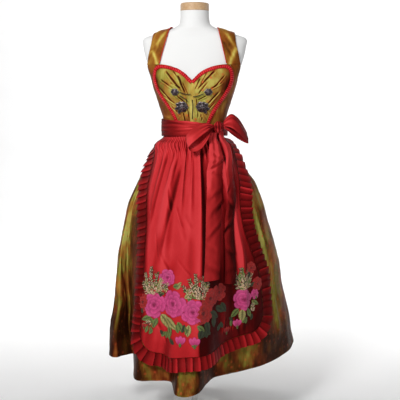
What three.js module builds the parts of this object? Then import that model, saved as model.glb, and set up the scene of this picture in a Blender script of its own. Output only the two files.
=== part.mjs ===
// A long dirndl on a limbless dress form: bodice with heart neckline and wide straps, gathered skirt,
// taffeta apron with a pleated ruffle, wide sash tied in a bow. Millimetres, +Z up, front toward -Y,
// the wearer's left toward +X, origin on the floor under the middle of the stand.
import * as THREE from 'three';

// ------------------------------------------------------------------ driving sizes
const WAIST_Z = 1176;
const HEM_Z = 250;
const WALL = 1.6;             // cloth
const SASH_WALL = 2.2;        // two layers of taffeta
const FORM_GAP = 3.3;          // between the form and the cloth
const SEAM_GAP = 0.4;         // between cut pieces
const DEG = Math.PI / 180;
const BODICE_LIFT = FORM_GAP + WALL;

// The dress form, from the hips up to the neck: half width, half depth, how far back the middle
// lies and how square the section is (2 is an ellipse).
const FORM = [
  { z: 915, width: 158, depth: 116, back: 6, square: 2 },
  { z: 957, width: 163, depth: 122, back: 7, square: 2 },
  { z: 1000, width: 157, depth: 121, back: 6, square: 2 },
  { z: 1070, width: 138, depth: 108, back: 4, square: 2 },
  { z: 1120, width: 116, depth: 91, back: 1, square: 2 },
  { z: 1176, width: 112, depth: 87, back: 0, square: 2 },
  { z: 1228, width: 124, depth: 92, back: 0, square: 2.08 },
  { z: 1280, width: 141, depth: 100, back: 0, square: 2.2 },
  { z: 1332, width: 157, depth: 106, back: 1, square: 2.3 },
  { z: 1373, width: 168, depth: 103, back: 3, square: 2.4 },
  { z: 1404, width: 179, depth: 97, back: 5, square: 2.5 },
  { z: 1446, width: 192, depth: 85, back: 8, square: 2.6 },
  { z: 1488, width: 201, depth: 72, back: 10, square: 2.6 },
  { z: 1515, width: 203, depth: 64, back: 11, square: 2.5 },
  { z: 1525, width: 191, depth: 61, back: 11, square: 2.4 },
  { z: 1533, width: 166, depth: 61, back: 11, square: 2.3 },
  { z: 1546, width: 125, depth: 62, back: 11, square: 2.2 },
  { z: 1558, width: 88, depth: 63, back: 10, square: 2.1 },
  { z: 1571, width: 65, depth: 61, back: 9, square: 2 },
  { z: 1592, width: 57, depth: 57, back: 9, square: 2 },
  { z: 1625, width: 56, depth: 56, back: 9, square: 2 },
];
const BUST = { x: 74, z: 1326, reach: 27, spreadX: 42, spreadZ: 43 };

// ------------------------------------------------------------------ seams of the bodice
const PRINCESS = [            // the red trimmed seam beside the plastron
  { z: 1176, x: 57 }, { z: 1207, x: 66 }, { z: 1235, x: 80 }, { z: 1260, x: 97 }, { z: 1285, x: 115 },
  { z: 1310, x: 132 }, { z: 1335, x: 145 }, { z: 1360, x: 152 }, { z: 1385, x: 153 }, { z: 1405, x: 149 },
  { z: 1421, x: 139 },
];
const HEART = [               // neckline, across from the middle (0) to the corner (1)
  { across: 0, z: 1361 }, { across: 0.1, z: 1371 }, { across: 0.18, z: 1382 }, { across: 0.28, z: 1394 },
  { across: 0.38, z: 1403 }, { across: 0.54, z: 1412 }, { across: 0.7, z: 1416.5 },
  { across: 0.86, z: 1419 }, { across: 1, z: 1419 },
];
const ARMHOLE_FRONT = [       // top of the side panel, from the trim (0) to the underarm (1)
  { across: 0, z: 1419 }, { across: 0.3, z: 1419 }, { across: 0.48, z: 1418.6 }, { across: 0.57, z: 1415 },
  { across: 0.68, z: 1397 },
  { across: 0.82, z: 1369 }, { across: 0.92, z: 1359 }, { across: 1, z: 1357 },
];
const ARMHOLE_BACK = [        // top of the back side panel, from the underarm (0) to the back seam (1)
  { across: 0, z: 1357 }, { across: 0.12, z: 1363 }, { across: 0.3, z: 1392 }, { across: 0.5, z: 1441 },
  { across: 0.62, z: 1468 }, { across: 1, z: 1472 },
];
const BACK_SEAM = [
  { z: 1176, x: 44 }, { z: 1280, x: 58 }, { z: 1380, x: 78 }, { z: 1472, x: 86 },
];
const BACK_NECK = [           // top of the back panel, across from seam (0) to seam (1)
  { across: 0, z: 1472 }, { across: 0.15, z: 1452 }, { across: 0.35, z: 1440 }, { across: 0.5, z: 1437 },
  { across: 0.65, z: 1440 }, { across: 0.85, z: 1452 }, { across: 1, z: 1472 },
];
const PLACKET_HALF = 8;       // the strip behind the lacing
const PLEATS = 7;             // soft pleats of one plastron half
const PLEAT_RELIEF = 1.3;
const BODICE_ROWS = 6;
const STRAP = [               // edges of a strap, from its front end (0) over the shoulder to its back (1)
  { along: 0, inner: 127, outer: 176 }, { along: 0.2, inner: 116, outer: 171 },
  { along: 0.36, inner: 106, outer: 163 }, { along: 0.5, inner: 93, outer: 157 },
  { along: 0.62, inner: 88, outer: 154 }, { along: 0.8, inner: 86, outer: 152 },
  { along: 1, inner: 87, outer: 150 },
];
const STRAP_CREASE = { across: 1.6, along: 3.2, depth: 2.4 };
const STRAP_FRONT_Z = 1420.6;
const STRAP_BACK_Z = 1474;
const TRIM_HALF = 7;
const TRIM_CROWN = 2.6;
const TRIM = [                // middle of the ruched trim: heart neckline, corner, then down the seam
  { x: 1, z: 1351 }, { x: 14, z: 1363 }, { x: 27, z: 1376 }, { x: 43, z: 1388 }, { x: 62, z: 1398 },
  { x: 84, z: 1405 }, { x: 108, z: 1410 }, { x: 128, z: 1410 }, { x: 142, z: 1402 }, { x: 149, z: 1386 },
  { x: 150, z: 1362 }, { x: 143, z: 1336 }, { x: 130, z: 1311 }, { x: 113, z: 1286 }, { x: 95, z: 1261 },
  { x: 79, z: 1236 }, { x: 66, z: 1210 }, { x: 58, z: 1190 },
];
const CLASPS = [              // antiqued rose clasps: place, half width, half height, gap behind the middle
  { name: 'upper', x: 64, z: 1314, width: 17, height: 13, gap: 1.5 },
  { name: 'lower', x: 38, z: 1257, width: 24, height: 25, gap: 3.4 },
];
const LACE_RADIUS = 1.5;
const LACES = [               // thin cords between the clasps, the last one tucked behind the sash
  { name: 'lace_left_upper', clear: 7, points: [[-44, 1313], [-24, 1306], [-4, 1306]] },
  { name: 'lace_left_lower', clear: 7, points: [[-46, 1301], [-30, 1291], [-15, 1279]] },
  { name: 'lace_right_upper', clear: 7, points: [[46, 1308], [26, 1300], [5, 1296]] },
  { name: 'lace_centre', clear: 7, points: [[1, 1285], [3, 1262], [1, 1236], [0, 1212]] },
];

// ------------------------------------------------------------------ skirt
const RINGS = [               // reach of the skirt to each side at a height, and depth of its gathers
  { z: 1176, left: 117, right: 117, front: 92, back: 92, gather: 0.6 },
  { z: 1134, left: 120, right: 120, front: 95, back: 96, gather: 0.7 },
  { z: 1118, left: 140, right: 140, front: 106, back: 112, gather: 3 },
  { z: 1085, left: 158, right: 164, front: 117, back: 127, gather: 4.5 },
  { z: 1005, left: 200, right: 207, front: 149, back: 164, gather: 3.2 },
  { z: 957, left: 226, right: 243, front: 171, back: 189, gather: 2 },
  { z: 876, left: 264, right: 280, front: 205, back: 226, gather: 1 },
  { z: 795, left: 284, right: 303, front: 235, back: 257, gather: 0 },
  { z: 714, left: 301, right: 328, front: 262, back: 285, gather: 0 },
  { z: 632, left: 311, right: 350, front: 285, back: 309, gather: 0 },
  { z: 548, left: 319, right: 362, front: 305, back: 331, gather: 0 },
  { z: 465, left: 324, right: 379, front: 322, back: 350, gather: 0 },
  { z: 381, left: 338, right: 398, front: 340, back: 369, gather: 0 },
  { z: 313, left: 343, right: 408, front: 352, back: 381, gather: 0 },
  { z: 250, left: 347, right: 421, front: 362, back: 392, gather: 0 },
];
const FOLDS = [               // the hem's route round the form, a row per crest or hollow of a fold
  { angle: -180, radius: 392, lift: 0 }, { angle: -167, radius: 350, lift: 4 },
  { angle: -154, radius: 391, lift: 0 }, { angle: -141, radius: 343, lift: 6 },
  { angle: -128, radius: 379, lift: 0 }, { angle: -115, radius: 330, lift: 4 },
  { angle: -102, radius: 356, lift: 0 }, { angle: -91, radius: 340, lift: 2 },
  { angle: -81, radius: 347, lift: 0 }, { angle: -75, radius: 322, lift: 0 },
  { angle: -80, radius: 282, lift: 0 }, { angle: -84, radius: 248, lift: -2 },
  { angle: -68, radius: 252, lift: -4 }, { angle: -47, radius: 298, lift: -5 },
  { angle: -31, radius: 373, lift: -5 }, { angle: -21, radius: 350, lift: -4 },
  { angle: -11, radius: 334, lift: -4 }, { angle: -7, radius: 384, lift: -8 },
  { angle: -4, radius: 436, lift: -15 }, { angle: 1, radius: 446, lift: -18 },
  { angle: 7, radius: 426, lift: -10 }, { angle: 12, radius: 362, lift: 0 },
  { angle: 19, radius: 300, lift: 0 }, { angle: 32, radius: 283, lift: 0 },
  { angle: 46, radius: 283, lift: 0 }, { angle: 62, radius: 306, lift: 2 },
  { angle: 80, radius: 340, lift: 5 }, { angle: 96, radius: 396, lift: 20 },
  { angle: 107, radius: 421, lift: 36 }, { angle: 121, radius: 388, lift: 20 },
  { angle: 136, radius: 348, lift: 6 },
  { angle: 151, radius: 391, lift: 0 }, { angle: 166, radius: 352, lift: 4 },
];
const COLUMNS_PER_FOLD = 4;
const LEFT_SEAM = 7;          // rows of FOLDS where front and back panels are sewn together
const RIGHT_SEAM = 28;
const SKIRT_LEVELS = [0, 0.045, 0.062, 0.11, 0.2, 0.35, 0.53, 0.76, 1];
const FOLDS_START = 0.05;     // share of the length where the folds begin
const FOLDS_GROWTH = 1.15;    // how evenly they deepen from there

// ------------------------------------------------------------------ apron, ruffle and sash
const APRON_TOP_Z = 1158;
const APRON_EDGES = [         // angles of the side edges, front middle is 0
  { z: 1160, left: -88, right: 79 }, { z: 1120, left: -84, right: 75 }, { z: 1079, left: -70, right: 71.5 },
  { z: 1022, left: -62, right: 66 }, { z: 960, left: -56.5, right: 58 }, { z: 885, left: -48.5, right: 52 },
  { z: 800, left: -42, right: 51.5 }, { z: 712, left: -37, right: 55.5 }, { z: 620, left: -33.5, right: 61 },
  { z: 520, left: -31, right: 63 }, { z: 380, left: -31, right: 62 },
];
const APRON_BOTTOM = [        // height of the lower seam
  { angle: -31, z: 372 }, { angle: -20, z: 359 }, { angle: -12, z: 358 }, { angle: 0, z: 369 },
  { angle: 10, z: 373 }, { angle: 20, z: 379 }, { angle: 30, z: 387 }, { angle: 40, z: 395 },
  { angle: 66, z: 405 },
];
const APRON_LIFT = [          // how far the apron stands off the skirt
  { z: 1160, lift: 2.6 }, { z: 1134, lift: 2.4 }, { z: 1118, lift: 4 }, { z: 1074, lift: 4.5 },
  { z: 900, lift: 5 }, { z: 340, lift: 6 },
];
const APRON_GATHERS = 22;
const APRON_GATHER_DEPTH = [
  { z: 1160, depth: 0.5 }, { z: 1134, depth: 0.5 }, { z: 1118, depth: 2.2 }, { z: 1080, depth: 2.6 },
  { z: 1030, depth: 1.1 }, { z: 985, depth: 0.3 }, { z: 950, depth: 0 },
];
const APRON_FOLDS = [         // soft crests: angle at the top and at the bottom, half width in degrees, height
  { top: -56, bottom: -26, spread: 7, height: 8 }, { top: -27, bottom: -11, spread: 6, height: 12 },
  { top: -4, bottom: -1, spread: 4, height: 8 }, { top: 14, bottom: 9, spread: 4, height: 8 },
  { top: 33, bottom: 27, spread: 5, height: 7 }, { top: 51, bottom: 46, spread: 5, height: 13 },
  { top: 68, bottom: 59, spread: 4, height: 5 },
];
const APRON_FOLDS_TOP = 1128;
const APRON_FOLDS_RUN = 150;  // length in which the soft crests grow to their height
const APRON_CORNER = 70;
const APRON_BOTTOM_WIDTH = 560;
const APRON_LEVELS = [0, 0.031, 0.051, 0.11, 0.22, 0.4, 0.6, 0.79, 0.91, 1];
const RUFFLE_WIDTH = 45;
const RUFFLE_PITCH = 26;
const RUFFLE_STEP = 5;        // how far a knife pleat stands over the next
const RUFFLE_LIFT = 4.2;
const RUFFLE_SEAM = 1.5;
const RUFFLE_PLEAT = [        // across one knife pleat: where, and its share of the step
  { share: 0, rise: 0 }, { share: 0.45, rise: 0.6 }, { share: 0.88, rise: 1 },
];
const RUFFLE_TURN = 14;       // length over which the ruffle turns round a corner
const RUFFLE_START = 22;      // top end of the ruffle, below the sash's edge
const RUFFLE_CORNER = 760;    // length along the edge where the side strips meet the bottom one

const SASH_LIFT = 18.8;       // between the form and the sash's outer face
const SASH_CREASE = 2;
const SASH_LOW = 1128;         // everything above is clear of the sash
const SASH = [                // edges of the sash round the waist, dipping to the knot
  { angle: -180, top: 1206, bottom: 1138 }, { angle: -90, top: 1208, bottom: 1140 },
  { angle: -40, top: 1206, bottom: 1145 }, { angle: 0, top: 1202, bottom: 1150 },
  { angle: 30, top: 1194, bottom: 1151 }, { angle: 50, top: 1189, bottom: 1150 },
  { angle: 75, top: 1198, bottom: 1145 }, { angle: 110, top: 1205, bottom: 1139 },
  { angle: 180, top: 1206, bottom: 1138 },
];
const KNOT = { angle: 48, z: 1182, across: 15, height: 18, depth: 12 };
const LOOP_RIGHT = [          // middle of the upright loop's ribbon, out and back, with its half width
  { x: 122, y: -84, z: 1196, half: 12 }, { x: 136, y: -84, z: 1208, half: 22 },
  { x: 155, y: -82, z: 1211, half: 29 }, { x: 179, y: -78, z: 1193, half: 31 },
  { x: 199, y: -75, z: 1166, half: 29 }, { x: 211, y: -73, z: 1145, half: 26 },
  { x: 212, y: -73, z: 1135, half: 24 }, { x: 200, y: -74, z: 1138, half: 25 },
  { x: 178, y: -77, z: 1151, half: 26 }, { x: 155, y: -80, z: 1165, half: 24 },
  { x: 134, y: -82, z: 1175, half: 17 }, { x: 122, y: -84, z: 1180, half: 9 },
];
const LOOP_RIGHT_ACROSS = new THREE.Vector3(0.1, -0.72, -0.66);
const LOOP_LEFT = [           // the drooping loop
  { x: 78, y: -124, z: 1188, half: 10 }, { x: 60, y: -136, z: 1188, half: 19 },
  { x: 36, y: -146, z: 1178, half: 25 }, { x: 11, y: -152, z: 1160, half: 27 },
  { x: -8, y: -154, z: 1139, half: 27 }, { x: -15, y: -152, z: 1122, half: 26 },
  { x: -6, y: -150, z: 1109, half: 25 }, { x: 12, y: -149, z: 1107, half: 25 },
  { x: 34, y: -143, z: 1119, half: 24 }, { x: 54, y: -135, z: 1142, half: 19 },
  { x: 70, y: -124, z: 1164, half: 12 }, { x: 78, y: -118, z: 1174, half: 8 },
];
const LOOP_LEFT_ACROSS = new THREE.Vector3(0.32, -0.72, -0.6);
const TAILS = [
  {
    name: 'bow_tail_left', clear: 5, crown: 6,
    rows: [
      { z: 1160, angle: 44, half: 12 }, { z: 1103, angle: 39, half: 21 }, { z: 1030, angle: 32.5, half: 27 },
      { z: 935, angle: 26.4, half: 29 }, { z: 858, angle: 22.8, half: 30 }, { z: 772, angle: 19.6, half: 30 },
      { z: 690, angle: 17.2, half: 29 }, { z: 634, angle: 15.6, half: 29 },
    ],
  },
  {
    name: 'bow_tail_right', clear: 4, crown: 5,
    rows: [
      { z: 1164, angle: 57, half: 10 }, { z: 1120, angle: 59, half: 16 }, { z: 1068, angle: 53.3, half: 19 },
      { z: 970, angle: 45, half: 20 }, { z: 858, angle: 38, half: 20 }, { z: 765, angle: 35.5, half: 22 },
      { z: 680, angle: 34, half: 24 }, { z: 604, angle: 32.4, half: 25 },
    ],
  },
];
const TAIL_COLUMNS = 4;
const TAIL_STEPS = 11;

// ------------------------------------------------------------------ stand
const BASE = { radius: 150, height: 14, edge: 4, segments: 32 };
const POLE = { radius: 12, edge: 0.5, segments: 12 };
const CAP = { radius: 56, height: 30, edge: 9, segments: 28 };

// ------------------------------------------------------------------ finishes
function finish(color, roughness, metalness) {
  return new THREE.MeshStandardMaterial({ color, roughness, metalness });
}
const SHOT_TAFFETA = finish('#8a6a2a', 0.45, 0);
const RED_TAFFETA = finish('#b9202f', 0.4, 0);
const RED_TRIM = finish('#c81f33', 0.5, 0);
const ANTIQUE_METAL = finish('#3c3b3a', 0.45, 0.8);
const LACE_CORD = finish('#2a201c', 0.7, 0);
const FORM_CLOTH = finish('#efece6', 0.8, 0);
const BEECH = finish('#cda06e', 0.5, 0);
const WHITE_METAL = finish('#f0efec', 0.4, 0.2);

// ------------------------------------------------------------------ small helpers
const mix = (a, b, t) => a + (b - a) * t;
const clamp = (value, low, high) => Math.min(high, Math.max(low, value));
const signedPower = (value, power) => Math.sign(value) * Math.abs(value) ** power;

// Smooth value of a table's column between its rows; the key may rise or fall.
function read(table, key, at, column) {
  const rising = table[0][key] < table[table.length - 1][key];
  const rows = rising ? table : [...table].reverse();
  const place = clamp(at, rows[0][key], rows[rows.length - 1][key]);
  let i = 0;
  while (i < rows.length - 2 && place > rows[i + 1][key]) i += 1;
  const slope = (a, b) => (b[column] - a[column]) / (b[key] - a[key]);
  const here = rows[i];
  const next = rows[i + 1];
  const span = next[key] - here[key];
  const middle = slope(here, next);
  const before = i > 0 ? (slope(rows[i - 1], here) + middle) / 2 : middle;
  const after = i < rows.length - 2 ? (slope(next, rows[i + 2]) + middle) / 2 : middle;
  const t = (place - here[key]) / span;
  const bend = (t ** 3 - 2 * t ** 2 + t) * before * span + (t ** 3 - t ** 2) * after * span;
  return mix(here[column], next[column], 3 * t ** 2 - 2 * t ** 3) + bend;
}

function mesh(name, geometry, material) {
  const piece = new THREE.Mesh(geometry, material);
  piece.name = name;
  return piece;
}

// Geometry from corners and triangles, turned so that its faces point outward.
function solid(points, triangles) {
  const a = new THREE.Vector3();
  const volume = triangles.reduce(
    (sum, [i, j, k]) => sum + points[i].dot(a.crossVectors(points[j], points[k])), 0);
  const faces = volume < 0 ? triangles.map(([i, j, k]) => [i, k, j]) : triangles;
  const geometry = new THREE.BufferGeometry();
  geometry.setAttribute('position', new THREE.Float32BufferAttribute(points.flatMap((p) => p.toArray()), 3));
  geometry.setIndex(faces.flat());
  geometry.computeVertexNormals();
  return geometry;
}

// A cloth wall: outer points on a grid, inner points one wall behind them, closed round its rims.
// With ring set, the last column is sewn to the first; square ends face straight round the axis.
function cloth(surface, across, along, wall, options = {}) {
  const { ring = false, squareEnds = false, core = new THREE.Vector3(0, 0, 1200) } = options;
  const count = across.length;
  const rows = along.length;
  const outer = across.map((u) => along.map((v) => surface(u, v)));
  const column = (i) => outer[ring ? (i + count) % count : clamp(i, 0, count - 1)];
  const normals = outer.map((line, i) => line.map((point, j) => {
    if (squareEnds && (i === 0 || i === count - 1)) return new THREE.Vector3(point.x, point.y, 0).normalize();
    const side = column(i + 1)[j].clone().sub(column(i - 1)[j]);
    const down = line[Math.min(j + 1, rows - 1)].clone().sub(line[Math.max(j - 1, 0)]);
    return side.cross(down).normalize();
  }));
  const inside = normals.slice(1, -1).flat();
  const facing = outer.slice(1, -1).flat().reduce(
    (sum, point, i) => sum + inside[i].dot(point.clone().sub(core)), 0);
  const sign = (i) => (facing > 0 || (squareEnds && (i === 0 || i === count - 1)) ? -wall : wall);
  const inner = outer.map((line, i) => line.map(
    (point, j) => point.clone().addScaledVector(normals[i][j], sign(i))));
  const points = [...outer.flat(), ...inner.flat()];
  const layer = count * rows;
  const at = (i, j) => (i % count) * rows + j;
  const triangles = [];
  const quad = (a, b, c, d) => triangles.push([a, b, c], [a, c, d]);
  const spans = ring ? count : count - 1;
  for (let i = 0; i < spans; i += 1) {
    for (let j = 0; j < rows - 1; j += 1) {
      quad(at(i, j), at(i + 1, j), at(i + 1, j + 1), at(i, j + 1));
      quad(layer + at(i, j), layer + at(i, j + 1), layer + at(i + 1, j + 1), layer + at(i + 1, j));
    }
    quad(at(i, 0), layer + at(i, 0), layer + at(i + 1, 0), at(i + 1, 0));
    quad(at(i, rows - 1), at(i + 1, rows - 1), layer + at(i + 1, rows - 1), layer + at(i, rows - 1));
  }
  for (let j = 0; j < rows - 1 && !ring; j += 1) {
    quad(at(0, j), at(0, j + 1), layer + at(0, j + 1), layer + at(0, j));
    quad(at(count - 1, j), layer + at(count - 1, j), layer + at(count - 1, j + 1), at(count - 1, j + 1));
  }
  return solid(points, triangles);
}

const steps = (count) => Array.from({ length: count + 1 }, (_, i) => i / count);

// ------------------------------------------------------------------ body of the form
function bust(x, z) {
  const besideX = (Math.abs(x) - BUST.x) / BUST.spreadX;
  const besideZ = (z - BUST.z) / BUST.spreadZ;
  return BUST.reach * Math.exp(-(besideX ** 2 + besideZ ** 2) / 2);
}

// Point of the form at an angle (0 front, 90 the wearer's left), moved out by lift.
function onForm(angle, z, lift) {
  const square = read(FORM, 'z', z, 'square');
  const side = signedPower(Math.sin(angle * DEG), 2 / square);
  const front = signedPower(Math.cos(angle * DEG), 2 / square);
  const x = side * (read(FORM, 'z', z, 'width') + lift);
  const swell = bust(x, z) * clamp(front, 0, 1);
  const y = read(FORM, 'z', z, 'back') - front * (read(FORM, 'z', z, 'depth') + lift) - swell;
  return new THREE.Vector3(x, y, z);
}

// Angle at which the front of the form has a given x.
function angleAt(x, z, lift) {
  const share = clamp(Math.abs(x) / (read(FORM, 'z', z, 'width') + lift), 0, 1);
  return (Math.asin(share ** (read(FORM, 'z', z, 'square') / 2)) / DEG) * Math.sign(x);
}

function formTorso() {
  const columns = 32;
  const heights = [915, 940, 980, 1030, 1080, 1130, 1176, 1225, 1270, 1305, 1340, 1380, 1425, 1470, 1505,
    1517, 1526, 1534, 1546, 1558, 1571, 1592, 1625];
  const ring = (z) => Array.from({ length: columns }, (_, i) => onForm((i * 360) / columns, z, 0));
  const points = heights.flatMap(ring);
  const bottom = points.push(new THREE.Vector3(0, 0, heights[0])) - 1;
  const top = points.push(new THREE.Vector3(0, read(FORM, 'z', 1625, 'back'), heights[heights.length - 1])) - 1;
  const last = (heights.length - 1) * columns;
  const triangles = [];
  for (let i = 0; i < columns; i += 1) {
    const next = (i + 1) % columns;
    for (let j = 0; j < last; j += columns) {
      triangles.push([j + i, j + next, j + columns + next], [j + i, j + columns + next, j + columns + i]);
    }
    triangles.push([bottom, next, i], [top, last + i, last + next]);
  }
  return mesh('form_torso', solid(points, triangles), FORM_CLOTH);
}

// A turned piece standing on z, its upper edge rounded.
function turned(name, { radius, edge, segments }, height, z, material) {
  const profile = [new THREE.Vector2(radius, 0), new THREE.Vector2(radius, height - edge)];
  for (let i = 1; i <= 3; i += 1) {
    const turn = (i / 3) * 90 * DEG;
    profile.push(new THREE.Vector2(radius - edge * (1 - Math.cos(turn)), height - edge * (1 - Math.sin(turn))));
  }
  const points = [new THREE.Vector3(0, 0, 0), new THREE.Vector3(0, 0, height)];
  profile.forEach((p) => {
    for (let i = 0; i < segments; i += 1) {
      const turn = (i / segments) * 2 * Math.PI;
      points.push(new THREE.Vector3(p.x * Math.cos(turn), p.x * Math.sin(turn), p.y));
    }
  });
  const triangles = [];
  const last = 2 + (profile.length - 1) * segments;
  for (let i = 0; i < segments; i += 1) {
    const next = (i + 1) % segments;
    triangles.push([0, 2 + next, 2 + i], [1, last + i, last + next]);
    for (let j = 2; j < last; j += segments) {
      triangles.push([j + i, j + next, j + segments + next], [j + i, j + segments + next, j + segments + i]);
    }
  }
  const piece = mesh(name, solid(points, triangles), material);
  piece.position.z = z;
  return piece;
}

function stand() {
  const group = new THREE.Group();
  const neckTop = FORM[FORM.length - 1];
  const cap = turned('neck_cap', CAP, CAP.height, neckTop.z + SEAM_GAP, BEECH);
  cap.position.y = neckTop.back;
  const poleHeight = FORM[0].z - BASE.height - 2 * SEAM_GAP;
  group.add(
    formTorso(), cap,
    turned('stand_pole', POLE, poleHeight, BASE.height + SEAM_GAP, WHITE_METAL),
    turned('stand_base', BASE, BASE.height, 0, WHITE_METAL));
  return group;
}

// ------------------------------------------------------------------ bodice
// Half of the gathered plastron: soft pleats fan out from the middle below to the corner above.
function plastron(name, side) {
  const surface = (across, up) => {
    const z = mix(WAIST_Z + SEAM_GAP, read(HEART, 'across', across, 'z'), up);
    const seam = read(PRINCESS, 'z', z, 'x') - SEAM_GAP;
    const x = mix(PLACKET_HALF + SEAM_GAP, seam, across);
    const fan = across * PLEATS + (1 - up) * 0.6;
    const edge = Math.sin(Math.PI * across) ** 0.5;
    const relief = PLEAT_RELIEF * (0.5 + 0.5 * Math.cos(2 * Math.PI * fan)) * edge;
    return onForm(side * angleAt(x, z, BODICE_LIFT), z, BODICE_LIFT + relief);
  };
  return mesh(name, cloth(surface, steps(PLEATS * 3), steps(BODICE_ROWS), WALL), SHOT_TAFFETA);
}

function placket() {
  const topZ = HEART[0].z - 3;
  const surface = (across, up) => {
    const z = mix(WAIST_Z + SEAM_GAP, topZ, up);
    const x = mix(-PLACKET_HALF, PLACKET_HALF, across) || 0.01;
    return onForm(angleAt(x, z, BODICE_LIFT), z, BODICE_LIFT);
  };
  return mesh('placket', cloth(surface, steps(2), steps(BODICE_ROWS), WALL), SHOT_TAFFETA);
}

function sidePanel(name, side) {
  const surface = (across, up) => {
    const z = mix(WAIST_Z + SEAM_GAP, read(ARMHOLE_FRONT, 'across', across, 'z'), up);
    const from = angleAt(read(PRINCESS, 'z', z, 'x') + SEAM_GAP, z, BODICE_LIFT);
    return onForm(side * mix(from, 90 - SEAM_GAP / 2, across), z, BODICE_LIFT);
  };
  return mesh(name, cloth(surface, steps(7), steps(BODICE_ROWS), WALL), SHOT_TAFFETA);
}

function backSidePanel(name, side) {
  const surface = (across, up) => {
    const z = mix(WAIST_Z + SEAM_GAP, read(ARMHOLE_BACK, 'across', across, 'z'), up);
    const to = 180 - angleAt(read(BACK_SEAM, 'z', z, 'x') + SEAM_GAP, z, BODICE_LIFT);
    return onForm(side * mix(90 + SEAM_GAP / 2, to, across), z, BODICE_LIFT);
  };
  return mesh(name, cloth(surface, steps(7), steps(BODICE_ROWS), WALL), SHOT_TAFFETA);
}

function backPanel() {
  const surface = (across, up) => {
    const z = mix(WAIST_Z + SEAM_GAP, read(BACK_NECK, 'across', across, 'z'), up);
    const half = 180 - angleAt(read(BACK_SEAM, 'z', z, 'x'), z, BODICE_LIFT);
    return onForm(mix(half, 360 - half, across), z, BODICE_LIFT);
  };
  return mesh('back_centre', cloth(surface, steps(8), steps(BODICE_ROWS), WALL), SHOT_TAFFETA);
}

// Surface of the form cut lengthwise at x: seen from a point inside it, turn runs from the front (0)
// over the shoulder (90) to the back (180).
const SLICE = { y: 10, z: 1450 };
function overShoulder(x, turn) {
  const along = new THREE.Vector3(0, -Math.cos(turn * DEG), Math.sin(turn * DEG));
  const outside = (reach) => {
    const y = SLICE.y + along.y * reach - read(FORM, 'z', SLICE.z + along.z * reach, 'back');
    const z = SLICE.z + along.z * reach;
    const square = read(FORM, 'z', z, 'square');
    const width = Math.abs(x) / read(FORM, 'z', z, 'width');
    const depth = Math.abs(y) / read(FORM, 'z', z, 'depth');
    return width ** square + depth ** square > 1;
  };
  let near = 0;
  let far = 170;
  for (let i = 0; i < 30; i += 1) {
    const reach = (near + far) / 2;
    if (outside(reach)) far = reach;
    else near = reach;
  }
  return new THREE.Vector3(x, SLICE.y + along.y * near, SLICE.z + along.z * near);
}

// Turn at which a slice reaches a height, on its front (1) or its back (-1) side.
function turnAt(x, z, side) {
  let low = -60;
  let high = 90;
  for (let i = 0; i < 24; i += 1) {
    const turn = (low + high) / 2;
    if (overShoulder(x, side > 0 ? turn : 180 - turn).z > z) high = turn;
    else low = turn;
  }
  return side > 0 ? low : 180 - low;
}

function onShoulder(side, across, along, lift) {
  const place = (u, v) => {
    const x = mix(read(STRAP, 'along', v, 'inner'), read(STRAP, 'along', v, 'outer'), u);
    return overShoulder(x, mix(turnAt(x, STRAP_FRONT_Z, 1), turnAt(x, STRAP_BACK_Z, -1), v));
  };
  const near = 0.02;
  const point = place(across, along);
  const du = place(Math.min(across + near, 1), along).sub(place(Math.max(across - near, 0), along));
  const dv = place(across, Math.min(along + near, 1)).sub(place(across, Math.max(along - near, 0)));
  const normal = dv.cross(du).normalize();
  if (normal.dot(point.clone().sub(new THREE.Vector3(point.x, SLICE.y, SLICE.z))) < 0) normal.negate();
  point.addScaledVector(normal, lift);
  return new THREE.Vector3(side * point.x, point.y, point.z);
}

function strap(name, side) {
  const surface = (across, along) => {
    const crease = Math.sin((across * STRAP_CREASE.across + along * STRAP_CREASE.along) * Math.PI) ** 2;
    const ease = Math.sin(Math.PI * along) ** 0.5 * Math.sin(Math.PI * across);
    return onShoulder(side, across, along, BODICE_LIFT + 1 + STRAP_CREASE.depth * crease * ease);
  };
  const core = new THREE.Vector3(side * 125, SLICE.y, SLICE.z);
  return mesh(name, cloth(surface, steps(4), steps(14), WALL, { core }), SHOT_TAFFETA);
}

// Ruched trim: a crowned ribbon laid along the neckline and the seam, over both panels.
function trim(name, side) {
  const route = TRIM.map((p) => new THREE.Vector3(p.x, 0, p.z));
  const middle = new THREE.CatmullRomCurve3(route, false, 'centripetal');
  const surface = (across, along) => {
    const point = middle.getPointAt(along);
    const ahead = middle.getTangentAt(along);
    const off = (across - 0.5) * 2 * TRIM_HALF;
    const x = Math.max(point.x + ahead.z * off, SEAM_GAP);
    const z = point.z - ahead.x * off;
    const lift = BODICE_LIFT + PLEAT_RELIEF + SEAM_GAP + WALL + TRIM_CROWN * Math.sin(Math.PI * across);
    return onForm(side * angleAt(x, z, lift), z, lift);
  };
  return mesh(name, cloth(surface, steps(3), steps(24), WALL), RED_TRIM);
}

function bodice() {
  const group = new THREE.Group();
  group.add(
    plastron('front_left', 1), plastron('front_right', -1), placket(),
    sidePanel('side_left', 1), sidePanel('side_right', -1),
    backSidePanel('back_side_left', 1), backSidePanel('back_side_right', -1), backPanel(),
    strap('strap_left', 1), strap('strap_right', -1),
    trim('trim_left', 1), trim('trim_right', -1));
  return group;
}

// ------------------------------------------------------------------ clasps and lacing
// Place on the bodice's front, with the direction that it faces.
function frontPlace(x, z, lift) {
  const at = (px, pz) => onForm(angleAt(px || 0.01, pz, lift), pz, lift);
  const step = 4;
  const out = at(x + step, z).sub(at(x - step, z)).cross(at(x, z + step).sub(at(x, z - step))).normalize();
  return { point: at(x, z), out };
}

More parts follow.
